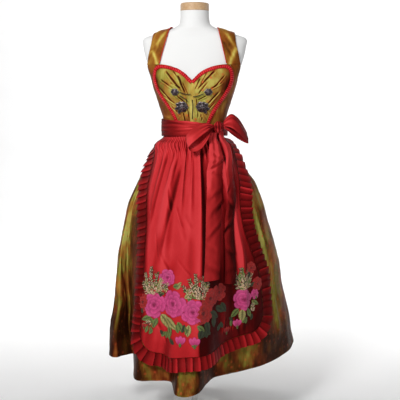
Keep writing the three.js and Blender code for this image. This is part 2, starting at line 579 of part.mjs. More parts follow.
// A domed rose of five petals round a raised bud, with a flat back.
function clasp(name, side, size) {
  const petals = 5;
  const segments = petals * 4;
  const rings = [
    { share: 1, rise: 0 }, { share: 1, rise: 2.2 }, { share: 0.72, rise: 4.6 }, { share: 0.34, rise: 4 },
  ];
  const points = [];
  rings.forEach((ring, k) => {
    for (let i = 0; i < segments; i += 1) {
      const turn = (i / segments) * 2 * Math.PI;
      const reach = ring.share * (0.92 + 0.08 * Math.cos(petals * turn + k));
      const [x, y] = [size.width * reach * Math.cos(turn), size.height * reach * Math.sin(turn)];
      points.push(new THREE.Vector3(x, y, ring.rise));
    }
  });
  const back = points.push(new THREE.Vector3(0, 0, 0)) - 1;
  const bud = points.push(new THREE.Vector3(0, 0, 6)) - 1;
  const last = (rings.length - 1) * segments;
  const triangles = [];
  for (let i = 0; i < segments; i += 1) {
    const next = (i + 1) % segments;
    triangles.push([back, next, i], [bud, last + i, last + next]);
    for (let j = 0; j < last; j += segments) {
      triangles.push([j + i, j + next, j + segments + next], [j + i, j + segments + next, j + segments + i]);
    }
  }
  const piece = mesh(name, solid(points, triangles), ANTIQUE_METAL);
  const { point, out } = frontPlace(side * size.x, size.z, BODICE_LIFT + PLEAT_RELIEF + size.gap);
  piece.position.copy(point);
  piece.quaternion.setFromUnitVectors(new THREE.Vector3(0, 0, 1), out);
  return piece;
}

// A thin round cord along given points.
function cord(name, points, radius, material) {
  const sides = 6;
  const section = new THREE.Shape();
  for (let i = 0; i < sides; i += 1) {
    const turn = (i / sides) * 2 * Math.PI;
    if (i === 0) section.moveTo(radius, 0);
    else section.lineTo(radius * Math.cos(turn), radius * Math.sin(turn));
  }
  section.closePath();
  const extrudePath = new THREE.CatmullRomCurve3(points, false, 'centripetal');
  const options = { steps: 3 * (points.length - 1), extrudePath, curveSegments: 1 };
  return mesh(name, new THREE.ExtrudeGeometry(section, options), material);
}

function fastenings() {
  const group = new THREE.Group();
  CLASPS.forEach((size) => {
    group.add(clasp(`clasp_${size.name}_left`, 1, size), clasp(`clasp_${size.name}_right`, -1, size));
  });
  LACES.forEach((lace) => {
    const route = lace.points.map(([x, z]) => frontPlace(x, z, BODICE_LIFT + lace.clear - 1).point);
    group.add(cord(lace.name, route, LACE_RADIUS, LACE_CORD));
  });
  return group;
}

// ------------------------------------------------------------------ skirt
// Distance from the axis of a ring with its own reach to each of the four sides.
function ringReach(z, angle) {
  const s = Math.sin(angle * DEG);
  const c = Math.cos(angle * DEG);
  const wide = read(RINGS, 'z', z, s < 0 ? 'left' : 'right');
  const deep = read(RINGS, 'z', z, c > 0 ? 'front' : 'back');
  return 1 / Math.hypot(s / wide, c / deep);
}

// Crest or hollow number s, smoothly between the rows of FOLDS and on round the hem.
function hemRoute(s) {
  const count = FOLDS.length;
  const row = (i) => {
    const turns = Math.floor(i / count);
    const fold = FOLDS[i - turns * count];
    return { angle: fold.angle + 360 * turns, radius: fold.radius, lift: fold.lift };
  };
  const i = Math.floor(s);
  const t = s - i;
  const [a, b, c, d] = [row(i - 1), row(i), row(i + 1), row(i + 2)];
  const curve = (key) => 0.5 * (2 * b[key] + (c[key] - a[key]) * t
    + (2 * a[key] - 5 * b[key] + 4 * c[key] - d[key]) * t ** 2
    + (3 * b[key] - a[key] - 3 * c[key] + d[key]) * t ** 3);
  return { angle: curve('angle'), radius: curve('radius'), lift: curve('lift') };
}

// The cloth is gathered evenly, so a fold's angle at the waist follows its length along the hem.
const HEM_LENGTHS = (() => {
  const point = (s) => {
    const hem = hemRoute(s);
    return new THREE.Vector2(hem.radius * Math.sin(hem.angle * DEG), hem.radius * Math.cos(hem.angle * DEG));
  };
  const perFold = 8;
  const lengths = [{ s: 0, length: 0 }];
  for (let i = 1; i <= FOLDS.length * perFold; i += 1) {
    const step = point(i / perFold).distanceTo(point((i - 1) / perFold));
    lengths.push({ s: i / perFold, length: lengths[i - 1].length + step });
  }
  return lengths;
})();
const HEM_LENGTH = HEM_LENGTHS[HEM_LENGTHS.length - 1].length;

function waistAngle(s) {
  const count = FOLDS.length;
  const turns = Math.floor(s / count);
  const length = read(HEM_LENGTHS, 's', s - turns * count, 'length');
  return -180 + 360 * (turns + length / HEM_LENGTH);
}

// Outer surface of the skirt: s counts folds round it, t runs from the waist (0) to the hem (1).
function onSkirt(s, t, gathered) {
  const hem = hemRoute(s);
  const z = mix(WAIST_Z - SEAM_GAP, HEM_Z, t) + hem.lift * t ** 2;
  const flat = mix(WAIST_Z, HEM_Z, t);
  const spread = clamp((t * ringReach(HEM_Z, hem.angle)) / ringReach(flat, hem.angle), 0, 1);
  const angle = mix(waistAngle(s), hem.angle, spread);
  const growth = clamp((t - FOLDS_START) / (1 - FOLDS_START), 0, 1) ** FOLDS_GROWTH;
  const fold = 1 + (hem.radius / ringReach(HEM_Z, hem.angle) - 1) * growth;
  const zigzag = Math.round(s * COLUMNS_PER_FOLD) % 2 === 0 ? 1 : -1;
  const gather = read(RINGS, 'z', flat, 'gather') * (gathered ? zigzag : 1);
  const radius = ringReach(flat, angle) * fold + gather;
  return { angle, radius, z };
}

function polar(angle, radius, z) {
  return new THREE.Vector3(radius * Math.sin(angle * DEG), -radius * Math.cos(angle * DEG), z);
}

function skirtPanel(name, from, to) {
  const count = (to - from) * COLUMNS_PER_FOLD;
  const place = (s, t) => {
    const at = onSkirt(s, t, true);
    return polar(at.angle, at.radius, at.z);
  };
  const near = 0.01;
  const surface = (u, t) => {
    const s = mix(from, to, u);
    const inset = (at, toward) => {
      const length = place(at + toward * near, t).distanceTo(place(at, t)) / near;
      return at + (toward * SEAM_GAP) / length;
    };
    if (u === 0) return place(inset(from, 1), t);
    if (u === 1) return place(inset(to, -1), t);
    return place(s, t);
  };
  return mesh(name, cloth(surface, steps(count), SKIRT_LEVELS, WALL, { squareEnds: true }), SHOT_TAFFETA);
}

// Outermost reach of the skirt at whole degrees and steps of height, for what lies on it.
const ENVELOPE_LOW = 290;
const ENVELOPE_STEP = 12;
const ENVELOPE_WINDOW = 3;
const ENVELOPE = (() => {
  const perFold = 10;
  const levels = [];
  for (let z = ENVELOPE_LOW; z <= WAIST_Z; z += ENVELOPE_STEP) {
    const reach = new Array(361).fill(0);
    const at = (s) => {
      let t = (WAIST_Z - z) / (WAIST_Z - HEM_Z);
      for (let i = 0; i < 3; i += 1) {
        t = clamp((WAIST_Z - z + hemRoute(s).lift * t ** 2) / (WAIST_Z - HEM_Z), 0, 1);
      }
      return onSkirt(s, t, false);
    };
    for (let i = 0; i < FOLDS.length * perFold; i += 1) {
      const a = at(i / perFold);
      const b = at((i + 1) / perFold);
      const [low, high] = a.angle < b.angle ? [a, b] : [b, a];
      for (let k = Math.floor(low.angle); k <= Math.ceil(high.angle); k += 1) {
        const share = clamp((k - low.angle) / (high.angle - low.angle || 1), 0, 1);
        const slot = ((k + 180) % 360 + 360) % 360;
        reach[slot] = Math.max(reach[slot], mix(low.radius, high.radius, share));
      }
    }
    reach[360] = reach[0];
    const wide = reach.map((_, k) => {
      let most = 0;
      for (let d = -ENVELOPE_WINDOW; d <= ENVELOPE_WINDOW; d += 1) {
        most = Math.max(most, reach[(k + d + 360) % 360]);
      }
      return most;
    });
    const even = wide.map((_, k) => {
      let sum = 0;
      for (let d = -2; d <= 2; d += 1) sum += wide[(k + d + 360) % 360];
      return sum / 5;
    });
    levels.push(even.map((value, k) => Math.max(value, reach[k])));
  }
  return levels;
})();

function skirtReach(angle, z) {
  const row = clamp((z - ENVELOPE_LOW) / ENVELOPE_STEP, 0, ENVELOPE.length - 1.001);
  const slot = clamp(angle + 180, 0, 359.999);
  const [i, k] = [Math.floor(row), Math.floor(slot)];
  const at = (j) => mix(ENVELOPE[j][k], ENVELOPE[j][k + 1], slot - k);
  return mix(at(i), at(i + 1), row - i);
}

// ------------------------------------------------------------------ apron
function apronReach(angle, z) {
  const down = clamp((APRON_TOP_Z - z) / (APRON_TOP_Z - HEM_Z), 0, 1);
  const folds = APRON_FOLDS.reduce((sum, fold) => {
    const beside = (angle - mix(fold.top, fold.bottom, down ** 0.5)) / fold.spread;
    return sum + fold.height * Math.exp(-(beside ** 2));
  }, 0);
  const grown = clamp((APRON_FOLDS_TOP - z) / APRON_FOLDS_RUN, 0, 1);
  return skirtReach(angle, z) + read(APRON_LIFT, 'z', z, 'lift') + WALL + folds * grown;
}

// Where the apron's lower seam lies across its width, with rounded corners.
function apronEnd(u) {
  const bottom = APRON_EDGES[APRON_EDGES.length - 1];
  const seam = read(APRON_BOTTOM, 'angle', mix(bottom.left, bottom.right, u), 'z');
  const inset = Math.min(u, 1 - u) * APRON_BOTTOM_WIDTH;
  const short = clamp(APRON_CORNER - inset, 0, APRON_CORNER);
  return seam + APRON_CORNER - Math.sqrt(APRON_CORNER ** 2 - short ** 2);
}

function apronAngle(u, z) {
  return mix(read(APRON_EDGES, 'z', z, 'left'), read(APRON_EDGES, 'z', z, 'right'), u);
}

// Outer surface of the apron: u across it, v from the waist (0) to the lower seam (1).
const APRON_COLUMNS = APRON_GATHERS * 2;
function onApron(u, v) {
  const z = mix(APRON_TOP_Z, apronEnd(u), v);
  const angle = apronAngle(u, z);
  const zigzag = Math.round(u * APRON_COLUMNS) % 2 === 0 ? 0 : 1;
  return { angle, z, radius: apronReach(angle, z) + zigzag * 2 * read(APRON_GATHER_DEPTH, 'z', z, 'depth') };
}

function apron() {
  const surface = (u, v) => {
    const at = onApron(u, v);
    return polar(at.angle, at.radius, at.z);
  };
  return mesh('apron', cloth(surface, steps(APRON_COLUMNS), APRON_LEVELS, WALL), RED_TAFFETA);
}

// The apron's sewn edge as points with their length along it, from the wearer's right waist round the
// bottom to the left waist.
const APRON_EDGE = (() => {
  const right = APRON_LEVELS.map((v) => onApron(0, v));
  const bottom = steps(APRON_COLUMNS).slice(1, -1).map((u) => onApron(u, 1));
  const left = [...APRON_LEVELS].reverse().map((v) => onApron(1, v));
  let length = 0;
  let before = null;
  return [...right, ...bottom, ...left].map((at) => {
    const point = polar(at.angle, at.radius, at.z);
    if (before) length += point.distanceTo(before);
    before = point;
    return { point, length };
  });
})();
const EDGE_LENGTH = APRON_EDGE[APRON_EDGE.length - 1].length;

function alongEdge(length) {
  const place = clamp(length, 0, EDGE_LENGTH);
  let i = 0;
  while (i < APRON_EDGE.length - 2 && place > APRON_EDGE[i + 1].length) i += 1;
  const [here, next] = [APRON_EDGE[i], APRON_EDGE[i + 1]];
  return here.point.clone().lerp(next.point, (place - here.length) / (next.length - here.length));
}

// A strip of knife pleats sewn to the edge between two lengths along it.
function ruffle(name, from, to) {
  const pleats = Math.round((to - from) / RUFFLE_PITCH);
  const places = [];
  for (let i = 0; i < pleats; i += 1) {
    RUFFLE_PLEAT.forEach(({ share, rise }) => places.push({ at: i + share, rise }));
  }
  places.push({ at: pleats, rise: 0 });
  const surface = (place, across) => {
    const length = mix(from + SEAM_GAP, to - SEAM_GAP, place.at / pleats);
    const seam = alongEdge(length);
    const ahead = alongEdge(length + RUFFLE_TURN).sub(alongEdge(length - RUFFLE_TURN)).normalize();
    const away = ahead.clone().cross(new THREE.Vector3(seam.x, seam.y, 0).normalize()).normalize();
    const off = RUFFLE_SEAM + across * RUFFLE_WIDTH;
    const flat = seam.clone().addScaledVector(away, off);
    const angle = Math.atan2(flat.x, -flat.y) / DEG;
    const radius = Math.hypot(flat.x, flat.y);
    const slack = read(APRON_LIFT, 'z', flat.z, 'lift') + WALL + RUFFLE_LIFT;
    const rest = mix(radius, skirtReach(angle, flat.z) + slack, clamp(across * 1.5, 0, 1));
    return polar(angle, rest + place.rise * RUFFLE_STEP * (0.15 + 0.85 * across), flat.z);
  };
  return mesh(name, cloth(surface, places, steps(1), WALL), RED_TAFFETA);
}

function apronGroup() {
  const group = new THREE.Group();
  group.add(
    apron(),
    ruffle('ruffle_right', RUFFLE_START, RUFFLE_CORNER),
    ruffle('ruffle_bottom', RUFFLE_CORNER, EDGE_LENGTH - RUFFLE_CORNER),
    ruffle('ruffle_left', EDGE_LENGTH - RUFFLE_CORNER, EDGE_LENGTH - RUFFLE_START));
  return group;
}

// ------------------------------------------------------------------ sash and bow
function sashReach(angle) {
  const waist = FORM.find((row) => row.z === WAIST_Z);
  const s = Math.sin(angle * DEG) / (waist.width + SASH_LIFT);
  const c = Math.cos(angle * DEG) / (waist.depth + SASH_LIFT);
  return 1 / Math.hypot(s, c);
}

function sash() {
  const columns = 36;
  const angles = Array.from({ length: columns }, (_, i) => -180 + (i * 360) / columns);
  const surface = (angle, up) => {
    const z = mix(read(SASH, 'angle', angle, 'bottom'), read(SASH, 'angle', angle, 'top'), up);
    const crease = SASH_CREASE * Math.sin(up * Math.PI * 3 + angle * DEG * 2) ** 2 * Math.sin(Math.PI * up);
    return polar(angle, sashReach(angle) + crease, z);
  };
  return mesh('sash', cloth(surface, angles, steps(4), SASH_WALL, { ring: true }), RED_TAFFETA);
}

function knot() {
  const geometry = new THREE.SphereGeometry(1, 12, 8);
  geometry.rotateX(Math.PI / 2);
  geometry.scale(KNOT.across, KNOT.depth, KNOT.height);
  geometry.rotateZ(KNOT.angle * DEG);
  const piece = mesh('bow_knot', geometry, RED_TAFFETA);
  piece.position.copy(polar(KNOT.angle, sashReach(KNOT.angle) + KNOT.depth + 4, KNOT.z));
  return piece;
}

// A ribbon that runs out along its middle line and turns back, its width along one direction.
function loop(name, rows, direction) {
  const middle = new THREE.CatmullRomCurve3(rows.map((p) => new THREE.Vector3(p.x, p.y, p.z)));
  const across = direction.clone().normalize();
  const halves = rows.map((p, i) => ({ at: i / (rows.length - 1), half: p.half }));
  const surface = (u, v) => {
    const half = read(halves, 'at', v, 'half');
    return middle.getPoint(v).addScaledVector(across, (u - 0.5) * 2 * half);
  };
  const core = middle.getPoint(0.5).lerp(middle.getPoint(0), 0.5);
  return mesh(name, cloth(surface, steps(3), steps(16), SASH_WALL, { core }), RED_TAFFETA);
}

// How far out something must lie to rest on the sash or the apron.
function restReach(angle, z, half) {
  const onSash = z > SASH_LOW ? sashReach(angle) + SASH_CREASE : 0;
  const spread = half / skirtReach(angle, z) / DEG;
  const around = [-1, -0.5, 0, 0.5, 1].map((side) => apronReach(angle + side * spread, z));
  return Math.max(onSash, ...around);
}

function tail(design) {
  const [first, last] = [design.rows[0].z, design.rows[design.rows.length - 1].z];
  const surface = (u, v) => {
    const z = mix(first, last, v);
    const half = read(design.rows, 'z', z, 'half');
    const angle = read(design.rows, 'z', z, 'angle');
    const gathers = 2 * read(APRON_GATHER_DEPTH, 'z', z, 'depth');
    const reach = restReach(angle, z, half) + design.clear + gathers + SASH_WALL;
    const crown = design.crown * Math.sin(Math.PI * u);
    return polar(angle + ((u - 0.5) * 2 * half) / reach / DEG, reach + crown, z);
  };
  return mesh(design.name, cloth(surface, steps(TAIL_COLUMNS), steps(TAIL_STEPS), SASH_WALL), RED_TAFFETA);
}

function bow() {
  const group = new THREE.Group();
  group.add(
    sash(), knot(),
    loop('bow_loop_right', LOOP_RIGHT, LOOP_RIGHT_ACROSS),
    loop('bow_loop_left', LOOP_LEFT, LOOP_LEFT_ACROSS),
    ...TAILS.map(tail));
  return group;
}

// ------------------------------------------------------------------ the whole object
const dirndl = new THREE.Group();
dirndl.add(
  stand(), bodice(), fastenings(),
  skirtPanel('skirt_front', LEFT_SEAM, RIGHT_SEAM),
  skirtPanel('skirt_back', RIGHT_SEAM, LEFT_SEAM + FOLDS.length),
  apronGroup(), bow());

export default dirndl;
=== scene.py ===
"""A long dirndl on a limbless dress form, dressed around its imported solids.

The cloth pieces are thin shells worked out from the same sections, rings and fold rows as the solids,
in millimetres, and become meshes in metres. +Z is up, the front faces -Y, the wearer's left is +X.
"""

from __future__ import annotations

import logging
import math
from dataclasses import dataclass, field
from enum import Enum
from typing import Callable, Sequence

import bpy
import numpy as np
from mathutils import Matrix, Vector


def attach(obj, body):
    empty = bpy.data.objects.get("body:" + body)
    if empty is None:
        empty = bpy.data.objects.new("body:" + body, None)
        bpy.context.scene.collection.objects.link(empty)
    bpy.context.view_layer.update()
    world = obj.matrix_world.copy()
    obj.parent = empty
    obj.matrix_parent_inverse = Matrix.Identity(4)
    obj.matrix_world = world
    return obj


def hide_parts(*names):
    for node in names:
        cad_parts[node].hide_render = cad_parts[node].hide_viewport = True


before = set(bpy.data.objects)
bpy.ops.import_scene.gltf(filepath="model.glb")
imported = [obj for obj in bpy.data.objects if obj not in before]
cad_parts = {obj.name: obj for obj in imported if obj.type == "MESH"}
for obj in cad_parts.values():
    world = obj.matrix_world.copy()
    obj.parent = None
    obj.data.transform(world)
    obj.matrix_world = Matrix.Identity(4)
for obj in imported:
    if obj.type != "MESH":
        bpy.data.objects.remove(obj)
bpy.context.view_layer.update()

Array = np.ndarray
Point = tuple[float, float, float]
Colour = tuple[float, float, float]
Pair = tuple[float, float]
Route = tuple[Pair, ...]
Rows = tuple[tuple[float, ...], ...]
Stops = tuple[tuple[float, Colour], ...]
Shades = tuple[Colour, Colour]
Piece = bpy.types.Object
MM = 0.001
BODY = "root"
log = logging.getLogger("dirndl")


# ---- small maths
class Curve:
    """Smooth value between the rows of a short table."""

    def __init__(self, *rows: Pair) -> None:
        """Sorts the rows and gives each the mean slope of its neighbours.

        Args:
            rows: pairs of key and value.
        """
        ordered = sorted(rows)
        self.keys = np.array([row[0] for row in ordered], float)
        self.values = np.array([row[1] for row in ordered], float)
        slopes = np.diff(self.values) / np.diff(self.keys)
        self.slopes = np.concatenate([slopes[:1], (slopes[1:] + slopes[:-1]) / 2, slopes[-1:]])

    def __call__(self, at: Array | float) -> Array:
        """Value at one or many keys, held level past the ends."""
        place = np.clip(at, self.keys[0], self.keys[-1])
        i = np.clip(np.searchsorted(self.keys, place, side="right") - 1, 0, len(self.keys) - 2)
        span = self.keys[i + 1] - self.keys[i]
        t = (place - self.keys[i]) / span
        level = self.values[i] + (self.values[i + 1] - self.values[i]) * t * t * (3 - 2 * t)
        return level + span * (
            (t**3 - 2 * t**2 + t) * self.slopes[i] + (t**3 - t**2) * self.slopes[i + 1]
        )


def curve(*rows: Pair) -> Curve:
    """Default of a dataclass field that holds a curve."""
    return field(default_factory=lambda: Curve(*rows))


class Unevenness:
    """Smooth seeded noise over two coordinates, from -1 to 1, one knot for each unit."""

    SIZE = 64

    def __init__(self, seed: int) -> None:
        """Draws the knots."""
        self.knots = np.random.default_rng(seed).uniform(-1, 1, (self.SIZE, self.SIZE))

    def __call__(self, a: Array | float, b: Array | float) -> Array:
        """Noise at each pair of coordinates."""
        a, b = np.broadcast_arrays(np.asarray(a, float), np.asarray(b, float))
        i, j = np.floor(a).astype(int), np.floor(b).astype(int)
        u, v = a - i, b - j
        u, v = u * u * (3 - 2 * u), v * v * (3 - 2 * v)
        n = self.SIZE
        low = self.knots[i % n, j % n] * (1 - u) + self.knots[(i + 1) % n, j % n] * u
        high = self.knots[i % n, (j + 1) % n] * (1 - u) + self.knots[(i + 1) % n, (j + 1) % n] * u
        return low * (1 - v) + high * v


def mix(a: Array | float, b: Array | float, t: Array | float) -> Array:
    """Value that is a share t of the way from a to b."""
    return a + (b - a) * t


def ease(value: Array | float, low: float, high: float) -> Array:
    """Share from 0 at low to 1 at high, with soft ends; high may lie below low."""
    t = np.clip((value - low) / (high - low), 0, 1)
    return t * t * (3 - 2 * t)


def bump(value: Array | float, left: float, right: float) -> Array:
    """Bell of height 1 at 0 with its own half width on each side."""
    return np.exp(-((value / np.where(value < 0, left, right)) ** 2))


def polar(angle: Array, radius: Array, z: Array) -> Array:
    """Points at an angle from the front middle, a distance from the axis and a height."""
    turn = np.radians(angle)
    x, y, z = np.broadcast_arrays(radius * np.sin(turn), -radius * np.cos(turn), z)
    return np.stack([x, y, z], -1)


def unit(vectors: Array) -> Array:
    """Vectors of length 1."""
    return vectors / np.maximum(np.linalg.norm(vectors, axis=-1, keepdims=True), 1e-9)


def spline(points: Array, at: Array, gain: Sequence[float] | None = None) -> Array:
    """Catmull-Rom curve through points.

    Args:
        points: one row per point, of any width.
        at: places along it, counted in points.
        gain: on a curve that closes, what a row gains with each whole turn.

    Returns:
        One row for each place.
    """
    count = len(points)
    i = np.floor(at).astype(int)
    if gain is None:
        i = np.clip(i, 0, count - 2)
    t = (at - i)[..., None]

    def row(k: Array) -> Array:
        """Rows with these numbers."""
        if gain is None:
            return points[np.clip(k, 0, count - 1)]
        return points[k % count] + np.floor(k / count)[..., None] * np.array(gain)

    a, b, c, d = row(i - 1), row(i), row(i + 1), row(i + 2)
    return 0.5 * (
        2 * b + (c - a) * t + (2 * a - 5 * b + 4 * c - d) * t**2 + (3 * b - a - 3 * c + d) * t**3
    )


def run_lengths(path: Array) -> Array:
    """Length along a path at each of its points."""
    return np.concatenate([[0], np.cumsum(np.linalg.norm(np.diff(path, axis=0), axis=1))])


def grid(columns: Array | int, rows: Array | int) -> tuple[Array, Array]:
    """Grids of two values; a whole number stands for so many even shares from 0 to 1."""
    a, b = (np.linspace(0, 1, side) if isinstance(side, int) else side for side in (columns, rows))
    a, b = np.meshgrid(a, b, indexing="ij")
    return a, b


# ---- meshes
def link(name: str, data: bpy.types.ID) -> Piece:
    """Puts an object in the scene."""
    made = bpy.data.objects.new(name, data)
    bpy.context.scene.collection.objects.link(made)
    return made


class Walls:
    """Collects thin cloth walls into one mesh, with a metric UV map, a tone that carries painted light and
    shade with the cloth's mottling, and a colour.
    """

    def __init__(self) -> None:
        """Starts empty."""
        self.points: list[Array] = []
        self.faces: list[Array] = []
        self.uvs: list[Array] = []
        self.tones: list[Array] = []
        self.colours: list[Array] = []
        self.count = 0
        self.area = 0.0

    def add(
        self,
        outer: Array,
        wall: float,
        ring: bool = False,
        tone: Callable[[Array], Array] | Array | float | None = None,
        uv: Array | None = None,
        colour: Array | Colour = (1.0, 1.0, 1.0),
        core: Point = (0.0, 0.0, 1200.0),
    ) -> None:
        """Adds a wall from its outer points.

        Args:
            outer: grid of points in millimetres, columns then rows.
            wall: thickness in millimetres.
            ring: whether the last column joins the first.
            tone: painted light and shade with mottling: one tone, a grid of tones, or a function of the
                normals.
            uv: grid of cloth coordinates in metres.
            colour: one colour, or one for each point.
            core: point that the outer side faces away from.
        """
        m, n = outer.shape[:2]
        padded = np.concatenate([outer[-1:], outer, outer[:1]]) if ring else None
        side = padded[2:] - padded[:-2] if ring else np.gradient(outer, axis=0)
        normals = unit(np.cross(side, np.gradient(outer, axis=1)))
        if np.sum(normals * (outer - np.array(core))) < 0:
            normals = -normals
        inner = outer - normals * wall
        spans = m if ring else m - 1
        i, j = grid(np.arange(spans), np.arange(n - 1))
        a, b = (i * n + j).ravel(), (((i + 1) % m) * n + j).ravel()
        layer = m * n
        quads = [
            np.stack([a, b, b + 1, a + 1], 1),
            np.stack([a, a + 1, b + 1, b], 1) + layer,
        ]
        k = np.arange(spans)
        for row, flip in ((0, False), (n - 1, True)):
            low, high = k * n + row, ((k + 1) % m) * n + row
            rim = np.stack([low, low + layer, high + layer, high], 1)
            quads.append(rim[:, ::-1] if flip else rim)
        if not ring:
            k = np.arange(n - 1)
            for column, flip in ((0, False), (m - 1, True)):
                low = column * n + k
                rim = np.stack([low, low + 1, low + 1 + layer, low + layer], 1)
                quads.append(rim[:, ::-1] if flip else rim)
        faces = np.concatenate(quads)
        points = np.concatenate([outer.reshape(-1, 3), inner.reshape(-1, 3)])
        corner = points[faces[: len(a)]]
        turned = np.cross(corner[:, 2] - corner[:, 0], corner[:, 3] - corner[:, 1])
        self.area += float(np.linalg.norm(turned, axis=1).sum()) / 2e6
        if np.sum(turned * normals.reshape(-1, 3)[faces[: len(a), 0]]) < 0:
            faces = faces[:, ::-1]
        if callable(tone):
            tone = tone(normals)
        tone = np.full((m, n), 0.5) if tone is None else np.broadcast_to(tone, (m, n))
        uv = np.zeros((m, n, 2)) if uv is None else uv
        colour = np.broadcast_to(np.asarray(colour, float), (m, n, 3))
        self.points.append(points)
        self.faces.append(faces + self.count)
        self.tones.append(np.tile(tone.ravel(), 2))
        self.uvs.append(np.tile(uv.reshape(-1, 2), (2, 1)))
        self.colours.append(np.tile(colour.reshape(-1, 3), (2, 1)))
        self.count += len(points)

    def build(self, name: str, material: bpy.types.Material, crease: float = 50.0) -> Piece:
        """Makes the object.

        Args:
            name: the piece's name.
            material: its finish.
            crease: angle in degrees from which an edge stays sharp.

        Returns:
            The object, at the origin, in metres.
        """
        points, faces = np.concatenate(self.points) * MM, np.concatenate(self.faces)
        data = bpy.data.meshes.new(name)
        data.vertices.add(len(points))
        data.vertices.foreach_set("co", points.astype(np.float32).ravel())
        data.loops.add(faces.size)
        data.loops.foreach_set("vertex_index", faces.astype(np.int32).ravel())
        data.polygons.add(len(faces))
        data.polygons.foreach_set("loop_start", np.arange(0, faces.size, 4, dtype=np.int32))
        data.update(calc_edges=True)
        layer = data.uv_layers.new(name="cut")
        layer.data.foreach_set("uv", np.concatenate(self.uvs)[faces.ravel()].astype(np.float32).ravel())
        tone = data.attributes.new("tone", "FLOAT", "POINT")
        tone.data.foreach_set("value", np.concatenate(self.tones).astype(np.float32))
        thread = data.attributes.new("thread", "FLOAT_COLOR", "POINT")
        rgba = np.ones((len(points), 4), np.float32)
        rgba[:, :3] = np.concatenate(self.colours)
        thread.data.foreach_set("color", rgba.ravel())
        data.materials.append(material)
        log.info("%s: outer side %.4f square metres", name, self.area)
        piece = link(name, data)
        smooth(piece, crease)
        return piece


def choose(*pieces: Piece) -> None:
    """Selects only these objects, the first one active."""
    bpy.ops.object.select_all(action="DESELECT")
    for piece in pieces:
        piece.select_set(True)
    bpy.context.view_layer.objects.active = pieces[0]


def smooth(piece: Piece, crease: float) -> None:
    """Shades a piece smooth, with edges sharper than crease degrees kept."""
    choose(piece)
    bpy.ops.object.shade_smooth_by_angle(angle=math.radians(crease))


def settle(piece: Piece, material: bpy.types.Material, crease: float = 40.0) -> Piece:
    """Moves a modelled piece's place into its mesh and gives it its finish."""
    choose(piece)
    bpy.ops.object.transform_apply(location=True, rotation=True, scale=True)
    piece.data.materials.clear()
    piece.data.materials.append(material)
    smooth(piece, crease)
    return piece


# ---- shader graph
class Value:
    """A shader socket that takes part in Python sums."""

    def __init__(self, graph: "Graph", socket: bpy.types.NodeSocket) -> None:
        """Keeps the graph and the socket."""
        self.graph = graph
        self.socket = socket

    def math(self, operation: str, *others: "Value | float", first: bool = True) -> "Value":
        """Result of a Math node with this value as its first or second operand."""
        inputs = [self, *others] if first else [*others, self]
        return self.graph.node("ShaderNodeMath", {"operation": operation}, dict(enumerate(inputs)))

    def __add__(self, other: "Value | float") -> "Value":
        """Sum."""
        return self.math("ADD", other)

    __radd__ = __add__

    def __sub__(self, other: "Value | float") -> "Value":
        """Difference."""
        return self.math("SUBTRACT", other)

    def __rsub__(self, other: float) -> "Value":
        """Difference from a number."""
        return self.math("SUBTRACT", other, first=False)

    def __mul__(self, other: "Value | float") -> "Value":
        """Product."""
        return self.math("MULTIPLY", other)

    __rmul__ = __mul__

    def __truediv__(self, other: "Value | float") -> "Value":
        """Quotient."""
        return self.math("DIVIDE", other)

    def floor(self) -> "Value":
        """Whole part."""
        return self.math("FLOOR")

    def fraction(self) -> "Value":
        """Part behind the point."""
        return self.math("FRACT")

    def sine(self) -> "Value":
        """Sine."""
        return self.math("SINE")

    def between(self, low: float, high: float) -> "Value":
        """Soft step from 0 at low to 1 at high."""
        return self.graph.node(
            "ShaderNodeMapRange", {"interpolation_type": "SMOOTHSTEP"}, {0: self, 1: low, 2: high}
        )


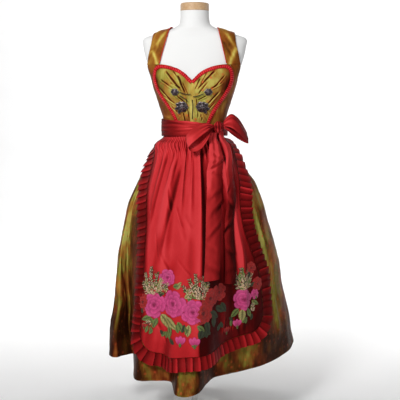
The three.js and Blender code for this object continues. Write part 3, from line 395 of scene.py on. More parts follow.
class Graph:
    """One material's node graph."""

    def __init__(self, name: str) -> None:
        """Makes the material with a Principled shader and its output."""
        self.material = bpy.data.materials.new(name)
        self.material.use_nodes = True
        self.nodes = self.material.node_tree.nodes
        self.links = self.material.node_tree.links
        self.nodes.clear()
        output = self.nodes.new("ShaderNodeOutputMaterial")
        self.shader = self.nodes.new("ShaderNodeBsdfPrincipled")
        self.links.new(self.shader.outputs[0], output.inputs[0])

    def feed(self, target: bpy.types.Node, inputs: dict[int | str, object]) -> None:
        """Links or sets a node's sockets."""
        for key, value in inputs.items():
            socket = target.inputs[key]
            if isinstance(value, Value):
                self.links.new(value.socket, socket)
            elif isinstance(value, tuple) and socket.type == "RGBA":
                socket.default_value = (*value, 1.0)
            else:
                socket.default_value = value

    def node(
        self,
        kind: str,
        settings: dict[str, object] | None = None,
        inputs: dict[int | str, object] | None = None,
        output: int | str = 0,
    ) -> Value:
        """Adds a node.

        Args:
            kind: Blender's type name of the node.
            settings: its own properties, set first; "stops" holds a ramp's colours.
            inputs: values or links of its sockets.
            output: the socket that is wanted.

        Returns:
            That output as a value.
        """
        made = self.nodes.new(kind)
        for key, value in (settings or {}).items():
            if key == "stops":
                elements = made.color_ramp.elements
                while len(elements) < len(value):
                    elements.new(0.5)
                for element, (place, colour) in zip(elements, value):
                    element.position = place
                    element.color = (*colour, 1.0)
            else:
                setattr(made, key, value)
        self.feed(made, inputs or {})
        return Value(self, made.outputs[output])

    def place(self, scale: Point = (1.0, 1.0, 1.0)) -> Value:
        """Object coordinates, stretched."""
        source = self.node("ShaderNodeTexCoord", output="Object")
        return self.node("ShaderNodeMapping", None, {"Vector": source, "Scale": scale})

    def cut(self) -> tuple[Value, Value]:
        """The two cloth coordinates in metres."""
        source = self.node("ShaderNodeUVMap", {"uv_map": "cut"})
        split = self.node("ShaderNodeSeparateXYZ", None, {0: source})
        return split, Value(self, split.socket.node.outputs[1])

    def noise(self, vector: Value, scale: float, detail: float = 2.0) -> Value:
        """Noise from 0 to 1."""
        return self.node("ShaderNodeTexNoise", None, {"Vector": vector, "Scale": scale, "Detail": detail})

    def tint(self, share: Value | float, low: Value | Colour, high: Value | Colour) -> Value:
        """Colour mixed from two."""
        return self.node("ShaderNodeMix", {"data_type": "RGBA"}, {0: share, 6: low, 7: high}, 2)

    def ramp(self, share: Value, stops: Sequence[tuple[float, Colour]]) -> Value:
        """Colour from a ramp."""
        return self.node("ShaderNodeValToRGB", {"stops": stops}, {0: share})

    def relief(self, height: Value, depth: float, under: Value | None = None) -> Value:
        """Normal bumped by a height.

        Args:
            height: the height, 0 to 1.
            depth: metres for a height of 1.
            under: a normal that is bumped already.

        Returns:
            The new normal.
        """
        inputs: dict[int | str, object] = {"Height": height, "Distance": depth, "Strength": 1.0}
        if under is not None:
            inputs["Normal"] = under
        return self.node("ShaderNodeBump", None, inputs)

    def attribute(self, name: str, output: str = "Fac") -> Value:
        """A value that the mesh carries."""
        return self.node("ShaderNodeAttribute", {"attribute_name": name}, output=output)

    def finish(self, inputs: dict[int | str, object]) -> bpy.types.Material:
        """Feeds the shader and returns the material."""
        self.feed(self.shader, inputs)
        return self.material


# ---- finishes
@dataclass(frozen=True)
class Taffeta:
    """Crisp plain-woven silk look: a colour ramp from folds in shade to cloth in the light."""

    name: str
    stops: Stops
    gloss: Colour
    sheen_weight: float = 0.01
    specular: float = 0.05
    roughness: float = 0.44
    mottle: float = 0.3
    streak: float = 0.16
    thread: float = 0.0011
    crumple: float = 0.0016
    other: Stops = ()
    buds: bool = False
    bud_colour: Colour = (0.68, 0.085, 0.03)
    bud_spacing: float = 0.033
    bud_size: float = 0.0062

    def bud_mask(self, graph: Graph) -> Value:
        """Mask of small woven buds in staggered, slightly scattered rows on the cut cloth."""
        across, along = graph.cut()
        across = across / self.bud_spacing
        column = across.floor()
        along = along / self.bud_spacing + (column * 0.5).fraction()
        cell = graph.node("ShaderNodeCombineXYZ", None, {0: column, 1: along.floor()})
        scatter = graph.node("ShaderNodeTexWhiteNoise", {"noise_dimensions": "2D"}, {"Vector": cell}, 1)
        shift = graph.node("ShaderNodeSeparateXYZ", None, {0: scatter})
        lean = Value(graph, shift.socket.node.outputs[1])
        dx = across.fraction() - 0.5 + (shift - 0.5) * 0.7
        dy = along.fraction() - 0.5 + (lean - 0.5) * 0.7
        ragged = graph.noise(graph.place(), 330.0, 1.0) - 0.5
        reach = (dx * dx * (0.8 + lean) + dy * dy * (1.8 - lean)).math("SQRT") + ragged * 0.1
        size = self.bud_size / self.bud_spacing
        seen = graph.noise(graph.place(), 9.0, 1.0).between(0.4, 0.6) * 0.5 + 0.5
        return (1 - reach.between(size * 0.5, size * 1.25)) * (shift * 0.5 + 0.5) * seen

    def build(self) -> bpy.types.Material:
        """Makes the material."""
        graph = Graph(self.name)
        tone = graph.attribute("tone")
        blotch = graph.noise(graph.place((1.0, 1.0, 0.45)), 26.0, 3.0)
        streak = graph.noise(graph.place((1.0, 1.0, 0.06)), 300.0, 2.0)
        level = tone + (blotch - 0.5) * self.mottle + (streak - 0.5) * self.streak
        colour = graph.ramp(level, self.stops)
        if self.other:
            patches = graph.noise(graph.place((1.0, 1.0, 0.6)), 17.0, 4.0).between(0.44, 0.58)
            colour = graph.tint(patches, colour, graph.ramp(level, self.other))
        across, along = graph.cut()
        turn = 2 * math.pi / self.thread
        weave = (across * turn).sine() * (along * turn).sine()
        slub = graph.noise(graph.place((1.0, 1.0, 14.0)), 55.0, 3.0)
        creased = graph.noise(graph.place((1.0, 1.0, 0.6)), 34.0, 3.0)
        normal = graph.relief(creased, self.crumple)
        normal = graph.relief(weave * 0.5 + slub * 0.6, 0.00006, normal)
        if self.buds:
            mask = self.bud_mask(graph)
            # the buds show more where the tone is high, that is more in the painted light
            colour = graph.tint(mask * (0.15 + level * 0.75), colour, self.bud_colour)
            normal = graph.relief(mask, 0.0003, normal)
        return graph.finish({
            "Base Color": colour,
            "Roughness": self.roughness + (slub - 0.5) * 0.18,
            "Normal": normal,
            "Sheen Weight": self.sheen_weight,
            "Sheen Roughness": 0.35,
            "Sheen Tint": self.gloss,
            "Specular Tint": self.gloss,
            "Specular IOR Level": self.specular,
        })


@dataclass(frozen=True)
class SatinThread:
    """Embroidery thread in satin stitch, coloured by the mesh."""

    name: str = "embroidery"
    stitch: float = 0.0012
    roughness: float = 0.4

    def build(self) -> bpy.types.Material:
        """Makes the material."""
        graph = Graph(self.name)
        across, _ = graph.cut()
        wander = graph.noise(graph.place(), 260.0, 2.0)
        stitches = (across * (2 * math.pi / self.stitch) + wander * 5.0).sine() * 0.5 + 0.5
        colour = graph.attribute("thread", "Color")
        shade = graph.tint(0.62, colour, (0.03, 0.008, 0.008))
        level = graph.noise(graph.place(), 420.0, 2.0).between(0.25, 0.6)
        return graph.finish({
            "Base Color": graph.tint((stitches * 0.5 + 0.5) * (level * 0.35 + 0.65), shade, colour),
            "Roughness": self.roughness + stitches * 0.15,
            "Normal": graph.relief(stitches, 0.00025),
            "Sheen Weight": 0.05,
            "Specular IOR Level": 0.25,
        })


@dataclass(frozen=True)
class AntiqueMetal:
    """Oxidised silver: dark in the hollows, rubbed bright on what stands out."""

    name: str = "antiqued metal"

    def build(self) -> bpy.types.Material:
        """Makes the material."""
        graph = Graph(self.name)
        pointed = graph.node("ShaderNodeNewGeometry", output="Pointiness")
        worn = graph.noise(graph.place(), 600.0, 3.0)
        rubbed = (pointed.between(0.49, 0.58) + (worn - 0.5) * 0.9).math("MINIMUM", 1.0)
        return graph.finish({
            "Base Color": graph.tint(rubbed, (0.016, 0.012, 0.013), (0.22, 0.18, 0.19)),
            "Metallic": 0.85,
            "Roughness": 0.5 - rubbed * 0.18,
            "Normal": graph.relief(worn, 0.0004),
        })


@dataclass(frozen=True)
class TwistedCord:
    """Two-ply lacing cord."""

    name: str = "lacing cord"
    colour: Colour = (0.02, 0.011, 0.008)

    def build(self) -> bpy.types.Material:
        """Makes the material."""
        graph = Graph(self.name)
        around, along = graph.cut()
        ply = (along * 1600.0 + around * 6.3).sine() * 0.5 + 0.5
        return graph.finish({
            "Base Color": graph.tint(ply, tuple(c * 0.5 for c in self.colour), self.colour),
            "Roughness": 0.6 + ply * 0.1,
            "Normal": graph.relief(ply, 0.0004),
        })


@dataclass(frozen=True)
class Jersey:
    """Fine off-white jersey drawn tight over the form."""

    name: str = "form jersey"
    colour: Colour = (0.87, 0.87, 0.86)

    def build(self) -> bpy.types.Material:
        """Makes the material."""
        graph = Graph(self.name)
        stretch = graph.place((1.0, 1.0, 1.6))
        knit = graph.noise(stretch, 1500.0, 1.0)
        soft = graph.noise(graph.place(), 7.0, 2.0)
        darker = tuple(c * 0.95 for c in self.colour)
        return graph.finish({
            "Base Color": graph.tint(soft * 0.7 + knit * 0.3, darker, self.colour),
            "Roughness": 0.72 + knit * 0.16,
            "Normal": graph.relief(knit, 0.00012),
            "Sheen Weight": 0.05,
        })


@dataclass(frozen=True)
class Beech:
    """Clear lacquered beech with its grain across the cap."""

    name: str = "lacquered beech"

    def build(self) -> bpy.types.Material:
        """Makes the material."""
        graph = Graph(self.name)
        bent = graph.noise(graph.place((1.0, 0.3, 1.0)), 22.0, 2.0)
        rings = graph.noise(graph.place((1.0, 0.05, 3.0)), 120.0, 3.0)
        fleck = graph.noise(graph.place((1.0, 0.2, 1.0)), 900.0, 1.0).between(0.62, 0.75)
        grain = rings * 0.7 + bent * 0.3
        wood = graph.ramp(grain, ((0.3, (0.42, 0.23, 0.1)), (0.55, (0.6, 0.38, 0.2)), (0.8, (0.7, 0.5, 0.3))))
        return graph.finish({
            "Base Color": graph.tint(fleck * 0.5, wood, (0.3, 0.15, 0.06)),
            "Roughness": 0.32 + grain * 0.2,
            "Normal": graph.relief(grain, 0.0002),
            "Coat Weight": 0.3,
        })


@dataclass(frozen=True)
class SatinEnamel:
    """White powder coat with its fine orange peel."""

    name: str = "white enamel"

    def build(self) -> bpy.types.Material:
        """Makes the material."""
        graph = Graph(self.name)
        peel = graph.noise(graph.place(), 900.0, 1.0)
        dust = graph.noise(graph.place(), 14.0, 3.0).between(0.45, 0.8)
        return graph.finish({
            "Base Color": graph.tint(dust * 0.5, (0.82, 0.82, 0.81), (0.74, 0.73, 0.71)),
            "Roughness": 0.34 + dust * 0.12,
            "Normal": graph.relief(peel, 0.00005),
        })


SHOT_STOPS = (
    (0.0, (0.036, 0.008, 0.003)),
    (0.28, (0.150, 0.028, 0.007)),
    (0.52, (0.290, 0.088, 0.018)),
    (0.78, (0.420, 0.235, 0.042)),
    (1.0, (0.540, 0.460, 0.105)),
)
RUST_STOPS = (
    (0.0, (0.060, 0.014, 0.004)),
    (0.3, (0.230, 0.058, 0.010)),
    (0.55, (0.360, 0.135, 0.022)),
    (0.8, (0.480, 0.320, 0.060)),
    (1.0, (0.600, 0.500, 0.120)),
)
GREEN_STOPS = (
    (0.0, (0.034, 0.009, 0.003)),
    (0.28, (0.120, 0.040, 0.007)),
    (0.52, (0.190, 0.150, 0.022)),
    (0.78, (0.350, 0.300, 0.052)),
    (1.0, (0.500, 0.460, 0.110)),
)
GOLD_STOPS = (
    (0.0, (0.060, 0.018, 0.004)),
    (0.3, (0.240, 0.080, 0.012)),
    (0.55, (0.400, 0.200, 0.030)),
    (0.8, (0.560, 0.400, 0.075)),
    (1.0, (0.680, 0.560, 0.140)),
)
RED_STOPS = (
    (0.0, (0.045, 0.002, 0.002)),
    (0.35, (0.220, 0.007, 0.008)),
    (0.7, (0.480, 0.018, 0.022)),
    (1.0, (0.660, 0.045, 0.052)),
)
SASH_STOPS = (
    (0.0, (0.035, 0.002, 0.002)),
    (0.5, (0.230, 0.009, 0.010)),
    (0.85, (0.480, 0.024, 0.026)),
    (1.0, (0.700, 0.050, 0.056)),
)
TRIM_STOPS = ((0.0, (0.300, 0.008, 0.012)), (0.5, (0.620, 0.020, 0.026)), (1.0, (0.780, 0.070, 0.070)))
RED_GLOSS = (1.0, 0.22, 0.2)
SHOT_GLOSS = (1.0, 0.62, 0.2)


class Finish(Enum):
    """The finishes of the whole object."""

    BUDDED = Taffeta(
        "shot taffeta with buds", SHOT_STOPS, SHOT_GLOSS,
        mottle=0.85, streak=0.26, other=GREEN_STOPS, buds=True
    )
    PLAIN = Taffeta("plain shot taffeta", RUST_STOPS, SHOT_GLOSS, mottle=0.5, streak=0.3, other=GOLD_STOPS)
    RED = Taffeta("red taffeta", RED_STOPS, RED_GLOSS, specular=0.07, mottle=0.14, streak=0.08)
    SASH = Taffeta("crimson taffeta", SASH_STOPS, RED_GLOSS, specular=0.07, mottle=0.14, streak=0.08)
    TRIM = Taffeta("ruched ribbon", TRIM_STOPS, RED_GLOSS, mottle=0.1, streak=0.05, crumple=0.0004)
    THREAD = SatinThread()
    METAL = AntiqueMetal()
    CORD = TwistedCord()
    JERSEY = Jersey()
    WOOD = Beech()
    ENAMEL = SatinEnamel()


MATERIALS: dict[Finish, bpy.types.Material] = {}


def material(finish: Finish) -> bpy.types.Material:
    """The finish's material, made once."""
    if finish not in MATERIALS:
        MATERIALS[finish] = finish.value.build()
    return MATERIALS[finish]


# ---- the form's body
@dataclass
class Body:
    """General figure of the dress form: half width, half depth, middle and squareness by height."""

    width: Curve = curve(
        (915, 158), (957, 163), (1000, 157), (1070, 138), (1120, 116), (1176, 112), (1228, 124),
        (1280, 141), (1332, 157), (1373, 168), (1404, 179), (1446, 192), (1488, 201), (1515, 203),
        (1525, 191), (1533, 166), (1546, 125), (1558, 88), (1571, 65), (1592, 57), (1625, 56),
    )
    depth: Curve = curve(
        (915, 116), (957, 122), (1000, 121), (1070, 108), (1120, 91), (1176, 87), (1228, 92),
        (1280, 100), (1332, 106), (1373, 103), (1404, 97), (1446, 85), (1488, 72), (1515, 64),
        (1525, 61), (1533, 61), (1546, 62), (1558, 63), (1571, 61), (1592, 57), (1625, 56),
    )
    back: Curve = curve(
        (915, 6), (957, 7), (1000, 6), (1070, 4), (1120, 1), (1176, 0), (1228, 0), (1280, 0),
        (1332, 1), (1373, 3), (1404, 5), (1446, 8), (1488, 10), (1515, 11), (1525, 11),
        (1533, 11), (1546, 11), (1558, 10), (1571, 9), (1592, 9), (1625, 9),
    )
    square: Curve = curve(
        (915, 2), (1176, 2), (1228, 2.08), (1280, 2.2), (1332, 2.3), (1373, 2.4), (1404, 2.5),
        (1446, 2.6), (1488, 2.6), (1515, 2.5), (1525, 2.4), (1533, 2.3), (1546, 2.2),
        (1558, 2.1), (1571, 2), (1592, 2), (1625, 2),
    )
    bust_x: float = 74
    bust_z: float = 1326
    bust_reach: float = 27
    bust_spread_x: float = 42
    bust_spread_z: float = 43

    def on(self, angle: Array, z: Array, lift: Array | float) -> Array:
        """Points of the form at an angle (0 front, 90 the wearer's left), moved out by lift."""
        power = 2 / self.square(z)
        turn = np.radians(angle)
        side, front = np.sin(turn), np.cos(turn)
        side = np.sign(side) * np.abs(side) ** power
        front = np.sign(front) * np.abs(front) ** power
        x = side * (self.width(z) + lift)
        beside = (np.abs(x) - self.bust_x) / self.bust_spread_x
        above = (z - self.bust_z) / self.bust_spread_z
        swell = self.bust_reach * np.exp(-(beside**2 + above**2) / 2) * np.clip(front, 0, 1)
        y = self.back(z) - front * (self.depth(z) + lift) - swell
        return np.stack(np.broadcast_arrays(x, y, np.asarray(z, float)), -1)

    def angle_at(self, x: Array, z: Array, lift: Array | float) -> Array:
        """Angle at which the front has a given x."""
        share = np.clip(np.abs(x) / (self.width(z) + lift), 0, 1)
        return np.degrees(np.arcsin(share ** (self.square(z) / 2))) * np.sign(x)

    def front(self, x: Array, z: Array, lift: Array | float) -> Array:
        """Points of the front at x and z, moved out by lift."""
        return self.on(self.angle_at(x, z, lift), z, lift)


@dataclass
class Stand:
    """The dress form with its cap, pole and base."""

    body: Body
    low: float = 915
    top: float = 1625
    cap_radius: float = 56
    cap_height: float = 30
    cap_y: float = 9
    gap: float = 0.4
    base_radius: float = 150
    base_height: float = 14
    pole_radius: float = 12

    def torso(self) -> Piece:
        """The smooth closed form under its jersey."""
        columns = 96
        heights = np.concatenate([np.linspace(self.low, 1490, 84), np.linspace(1496, self.top, 44)])
        angle, z = grid(np.arange(columns) * 360 / columns, heights)
        skin = self.body.on(angle, z, 0.0)
        low = skin[:, :1].copy()
        low[..., :2] *= 0.06
        top = skin[:, -1:].copy()
        top[..., :2] = top[..., :2] * 0.06 + np.array([0, self.cap_y]) * 0.94
        walls = Walls()
        walls.add(np.concatenate([low, skin, top], axis=1), 0.8, ring=True, core=(0, 0, 1300))
        return walls.build("form_jersey", material(Finish.JERSEY), 60)

    def turned(
        self, name: str, radius: float, low: float, high: float, edge: float, y: float, finish: Finish
    ) -> Piece:
        """A turned piece with its rims rounded.

        Args:
            name: the piece's name.
            radius: in millimetres, as the rest.
            low: height of its underside.
            high: height of its top.
            edge: radius of its rounded upper rim.
            y: place of its middle.
            finish: its finish.

        Returns:
            The piece.
        """
        bpy.ops.object.select_all(action="DESELECT")
        middle = (0, y * MM, (low + high) / 2 * MM)
        bpy.ops.mesh.primitive_cylinder_add(
            vertices=96, radius=radius * MM, depth=(high - low) * MM, location=middle
        )
        piece = bpy.context.active_object
        piece.name = name
        settle(piece, material(finish))
        for upper, width in ((True, edge), (False, min(edge, 1.5))):
            self.round_rim(piece, high * MM if upper else low * MM, width * MM)
        smooth(piece, 30)
        return piece

    def round_rim(self, piece: Piece, height: float, width: float) -> None:
        """Rounds the rim of a turned piece at a height, in metres."""
        choose(piece)
        bpy.ops.object.mode_set(mode="EDIT")
        bpy.ops.mesh.select_mode(type="EDGE")
        bpy.ops.mesh.select_all(action="DESELECT")
        bpy.ops.object.mode_set(mode="OBJECT")
        data = piece.data
        for edge in data.edges:
            edge.select = all(abs(data.vertices[v].co.z - height) < 1e-5 for v in edge.vertices)
        bpy.ops.object.mode_set(mode="EDIT")
        bpy.ops.mesh.bevel(offset=width, segments=5, affect="EDGES")
        bpy.ops.object.mode_set(mode="OBJECT")

    def build(self) -> None:
        """Builds and places all four pieces."""
        place(self.torso(), "form_cloth", "form_torso")
        cap_low = self.top + self.gap
        cap = self.turned(
            "beech_cap", self.cap_radius, cap_low, cap_low + self.cap_height, 8, self.cap_y, Finish.WOOD
        )
        place(cap, "beech", "neck_cap")
        foot = self.base_height
        base = self.turned("round_base", self.base_radius, 0, foot, 4, 0, Finish.ENAMEL)
        place(base, "white_metal", "stand_base")
        pole = self.turned(
            "stand_tube", self.pole_radius, foot + self.gap, self.low - self.gap, 0.5, 0, Finish.ENAMEL
        )
        collar = self.turned(
            "tube_collar", self.pole_radius + 9, foot + self.gap, foot + 26, 5, 0, Finish.ENAMEL
        )
        place(pole, "white_metal", "stand_pole")
        place(collar, "white_metal")


def place(piece: Piece, slot: str, *nodes: str) -> Piece:
    """Lets a piece ride, hides the solids that it stands for, and reports it."""
    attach(piece, BODY)
    if nodes:
        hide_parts(*nodes)
    log.info("%s: %d faces, for %s", piece.name, len(piece.data.polygons), ", ".join(nodes) or "itself")
    return piece


# ---- bodice
@dataclass(frozen=True)
class Drape:
    """A long soft ridge or, with a negative height, trough: its angles, reach in height and half widths."""

    top: float
    bottom: float
    high: float
    low: float
    left: float
    right: float
    height: float

    def relief(self, angle: Array, z: Array) -> Array:
        """Height of the cloth at an angle and height due to this fold."""
        down = np.clip((self.high - z) / (self.high - self.low), 0, 1)
        middle = mix(self.top, self.bottom, down)
        fade = ease(z, self.high + 8, self.high - 45) * ease(z, self.low - 70, self.low + 40)
        return self.height * fade * bump(angle - middle, self.left, self.right)


@dataclass(frozen=True)
class Crease:
    """A soft fold between two places: a trough with a ridge beside it."""

    start: Pair
    end: Pair
    width: float
    depth: float

    def relief(self, x: Array, z: Array) -> Array:
        """Height of the cloth at x and z due to this fold."""
        a, b = np.array(self.start), np.array(self.end)
        way = b - a
        length = float(np.hypot(*way))
        along = ((x - a[0]) * way[0] + (z - a[1]) * way[1]) / length**2
        beside = ((x - a[0]) * way[1] - (z - a[1]) * way[0]) / length / self.width
        fade = ease(along, -0.12, 0.18) * ease(along, 1.12, 0.82)
        return fade * self.depth * (0.85 * np.exp(-((beside - 1.7) ** 2)) - np.exp(-(beside**2)))


PLASTRON_CREASES = (           # radiating from the lacing to the corners of the heart
    Crease((-102, 1394), (-36, 1316), 3.6, 2.6),
    Crease((-124, 1362), (-70, 1328), 3, 2),
    Crease((-54, 1378), (-24, 1310), 3.4, 2.8),
    Crease((-74, 1396), (-42, 1356), 2.6, 1.8),
    Crease((-128, 1330), (-82, 1282), 3.2, 2.2),
    Crease((-86, 1352), (-40, 1328), 2.4, 1.6),
    Crease((-112, 1300), (-66, 1270), 2.8, 2),
    Crease((-58, 1300), (-20, 1268), 2.6, 2),
    Crease((-84, 1262), (-46, 1226), 2.6, 1.8),
    Crease((-34, 1350), (-12, 1300), 2.2, 1.8),
    Crease((17, 1321), (88, 1398), 3.8, 2.8),
    Crease((24, 1306), (66, 1362), 3.2, 2.4),
    Crease((12, 1324), (31, 1366), 3, 2.4),
    Crease((72, 1326), (116, 1352), 3, 2),
    Crease((60, 1268), (104, 1316), 3.2, 2.2),
    Crease((88, 1334), (124, 1378), 2.8, 1.8),
    Crease((20, 1282), (56, 1300), 2.4, 2),
    Crease((48, 1232), (84, 1272), 2.6, 1.8),
    Crease((34, 1346), (58, 1392), 2.4, 1.6),
    Crease((-22, 1292), (-13, 1214), 2.4, 2.2),
    Crease((-36, 1236), (-27, 1198), 2.2, 1.6),
    Crease((22, 1214), (17, 1290), 2.4, 2.2),
    Crease((36, 1198), (33, 1232), 2.2, 1.6),
)


STRAP_STREAKS = {              # where each strap's folds catch the light: across, then thousandths along
    1: (
        Drape(1, 0.16, 330, -40, 0.14, 0.16, 0.6), Drape(0.3, 0.75, 480, 340, 0.12, 0.22, 0.35),
        Drape(0.1, 0.5, 360, 100, 0.12, 0.14, -0.25),
    ),
    -1: (
        Drape(0.86, 0.1, 270, -40, 0.12, 0.14, 0.55), Drape(0.1, 0.5, 480, 330, 0.12, 0.2, 0.4),
        Drape(0.96, 0.5, 300, 60, 0.1, 0.1, -0.25),
    ),
}


@dataclass
class Bodice:
    """Fitted bodice: gathered plastron, side and back panels, straps, ruched trim and piping."""

    body: Body
    waist: float = 1176
    gap: float = 0.4
    form_gap: float = 3.3
    wall: float = 1.6
    cloth: float = 0.7
    placket_half: float = 8
    pleats: int = 7
    pleat_relief: float = 1.0
    princess: Curve = curve(
        (1176, 57), (1207, 66), (1235, 80), (1260, 97), (1285, 115), (1310, 132), (1335, 145),
        (1360, 152), (1385, 153), (1405, 149), (1421, 139),
    )
    heart: Curve = curve(
        (0, 1361), (0.1, 1371), (0.18, 1382), (0.28, 1394), (0.38, 1403), (0.54, 1412),
        (0.7, 1416.5), (0.86, 1419), (1, 1419),
    )
    armhole_front: Curve = curve(
        (0, 1419), (0.3, 1419), (0.48, 1418.6), (0.57, 1415), (0.68, 1397), (0.82, 1369),
        (0.92, 1359), (1, 1357),
    )
    armhole_back: Curve = curve(
        (0, 1357), (0.12, 1363), (0.3, 1392), (0.5, 1441), (0.62, 1468), (1, 1472)
    )
    back_seam: Curve = curve((1176, 44), (1280, 58), (1380, 78), (1472, 86))
    back_neck: Curve = curve(
        (0, 1472), (0.15, 1452), (0.35, 1440), (0.5, 1437), (0.65, 1440), (0.85, 1452), (1, 1472)
    )
    strap_inner: Curve = curve(
        (0, 127), (0.2, 116), (0.36, 106), (0.5, 93), (0.62, 88), (0.8, 86), (1, 87)
    )
    strap_outer: Curve = curve(
        (0, 176), (0.2, 171), (0.36, 163), (0.5, 157), (0.62, 154), (0.8, 152), (1, 150)
    )
    strap_front: float = 1420.6
    strap_back: float = 1474
    slice_y: float = 10
    slice_z: float = 1450
    trim_route: Route = (
        (1, 1351), (14, 1363), (27, 1376), (43, 1388), (62, 1398), (84, 1405), (108, 1410),
        (128, 1410), (142, 1402), (149, 1386), (150, 1362), (143, 1336), (130, 1311), (113, 1286),
        (95, 1261), (79, 1236), (66, 1210), (58, 1190),
    )
    plastron_cells: tuple[int, int] = (110, 150)
    placket_cells: tuple[int, int] = (9, 90)
    side_cells: tuple[int, int] = (60, 80)
    back_cells: tuple[int, int] = (90, 90)
    strap_cells: tuple[int, int] = (34, 170)
    strap_lap: Pair = (0.01, 0.02)
    trim_half: float = 7
    trim_crown: float = 2.6
    rib_pitch: float = 7.6

    @property
    def lift(self) -> float:
        """Distance of the cloth's outer side from the form."""
        return self.form_gap + self.wall

    def plastron(self, side: int) -> Piece:
        """One gathered half of the front."""
        across, up = grid(*self.plastron_cells)
        z = mix(self.waist + self.gap, self.heart(across), up)
        x = mix(self.placket_half + self.gap, self.princess(z) - self.gap, across)
        edge = np.sin(np.pi * np.clip(across, 0.001, 0.999)) ** 0.5
        fan = across * self.pleats * 1.6 + (1 - up) * 0.6
        relief = self.pleat_relief * np.cos(2 * np.pi * fan) * ease(up, 0.42, 0.05)
        relief = relief + sum(fold.relief(side * x, z) for fold in PLASTRON_CREASES)
        relief = relief + 0.5 * Unevenness(31 + side)(x / 17, z / 13)
        place_z = ease(up, 1.0, 0.93)
        lift = self.lift + np.clip(relief, -3.2, 2.6) * edge * (0.35 + 0.65 * place_z)
        outer = self.body.on(side * self.body.angle_at(x, z, lift), z, lift)

        def tone(normals: Array) -> Array:
            """Tone of the cloth: painted light where it faces the front and on its ridges, painted shade in
            its creases and at its outer upper corners where it turns to the side, darker toward the waist,
            with mottling.
            """
            facing = ease(-normals[..., 1], 0.45, 0.97)
            hollow = ease(-relief, 0.3, 2.6)
            corner = ease(x, 96, 140) * ease(z, 1270, 1340)
            blotch = 0.16 * Unevenness(37 + side)(x / 24, z / 30)
            ridge = ease(relief, 0.4, 2.2)
            level = 0.3 + facing * 0.58 + ridge * 0.22 - hollow * 0.9 - corner * 0.3
            return np.clip(level + blotch - 0.16 * ease(z, 1250, 1205), 0, 1)

        walls = Walls()
        uv = np.stack([side * x, z], -1) * MM
        walls.add(outer, self.cloth, tone=tone, uv=uv)
        name = "left" if side > 0 else "right"
        piece = walls.build(f"plastron_{name}", material(Finish.BUDDED))
        place(piece, "shot_taffeta", f"front_{name}")
        return piece

    def panel(
        self, name: str, node: str, outer: Array, uv: Array,
        flat: Pair, area: float, weft_and_shade: float
    ) -> None:
        """One plain fitted panel.

        Args:
            name: the piece's name.
            node: the solid that it stands for.
            outer: its outer points.
            uv: its cut coordinates.
            flat: its cut's width and length; not used.
            area: its cut's area; not used.
            weft_and_shade: how far its tone is held down toward the darker weft and as painted shade: it
                takes from the painted light where the panel faces the front or back and adds to its streaks.
        """
        wander = Unevenness(63)
        x, z = outer[..., 0] + outer[..., 1], outer[..., 2]
        streak = ease(wander(x / 7, z / 60), 0.3, 0.8) * ease(z, 1330, 1210)

        def tone(normals: Array) -> Array:
            """Tone of the cloth: painted light where it faces the front or back, with streaks and mottling.
            """
            facing = ease(np.abs(normals[..., 1]), 0.2, 1.02)
            cloud = 0.12 * wander(x / 22 + 9, z / 28)
            return np.clip(0.2 + (0.72 - weft_and_shade) * facing + weft_and_shade * 0.6 * streak + cloud, 0, 1)

        walls = Walls()
        walls.add(outer, self.cloth, tone=tone, uv=uv)
        piece = walls.build(name, material(Finish.PLAIN))
        place(piece, "shot_taffeta", node)

    def panels(self) -> None:
        """The placket strip, the side panels and the back."""
        wrinkle = Unevenness(12)
        across, up = grid(*self.placket_cells)
        z = mix(self.waist + self.gap, self.heart(0.0) - 3, up)
        x = mix(-self.placket_half, self.placket_half, across)
        outer = self.body.front(x, z, self.lift + 0.5 * np.sin(np.pi * across))
        uv = np.stack([x, z], -1) * MM
        self.panel("placket_strip", "placket", outer, uv, (0.018, 0.19), 0.0033, 0.0)
        for side, word in ((1, "left"), (-1, "right")):
            across, up = grid(*self.side_cells)
            z = mix(self.waist + self.gap, self.armhole_front(across), up)
            start = self.body.angle_at(self.princess(z) + self.gap, z, self.lift)
            angle = mix(start, 90 - self.gap / 4, across)
            loose = 1.2 * ease(z, 1375, 1412) * ease(across, 0.2, 0.6)
            pull = 1.0 * wrinkle(z / 16 + across * 3, across * 4 + side) * ease(up, 1, 0.85)
            outer = self.body.on(side * angle, z, self.lift + loose + pull)
            uv = np.stack([angle * 2.2, z], -1) * MM
            self.panel(f"side_panel_{word}", f"side_{word}", outer, uv, (0.13, 0.25), 0.021, 0.5)
            z = mix(self.waist + self.gap, self.armhole_back(across), up)
            finish = 180 - self.body.angle_at(self.back_seam(z) + 0.1, z, self.lift)
            angle = mix(90 + self.gap / 4, finish, across)
            pull = 1.0 * wrinkle(z / 18 - across * 3, across * 5 + side + 9) * ease(up, 1, 0.85)
            outer = self.body.on(side * angle, z, self.lift + pull * np.sin(np.pi * across))
            uv = np.stack([angle * 2.2, z], -1) * MM
            self.panel(
                f"back_side_panel_{word}", f"back_side_{word}", outer, uv, (0.17, 0.3), 0.037, 0.4
            )
        across, up = grid(*self.back_cells)
        z = mix(self.waist + self.gap, self.back_neck(across), up)
        half = 180 - self.body.angle_at(self.back_seam(z), z, self.lift)
        angle = mix(half, 360 - half, across)
        pull = 0.8 * wrinkle(z / 20, across * 5 + 30) * ease(up, 1, 0.85)
        outer = self.body.on(angle, z, self.lift + pull * np.sin(np.pi * across))
        uv = np.stack([angle * 2.0, z], -1) * MM
        self.panel("back_panel", "back_centre", outer, uv, (0.18, 0.3), 0.037, 0.3)

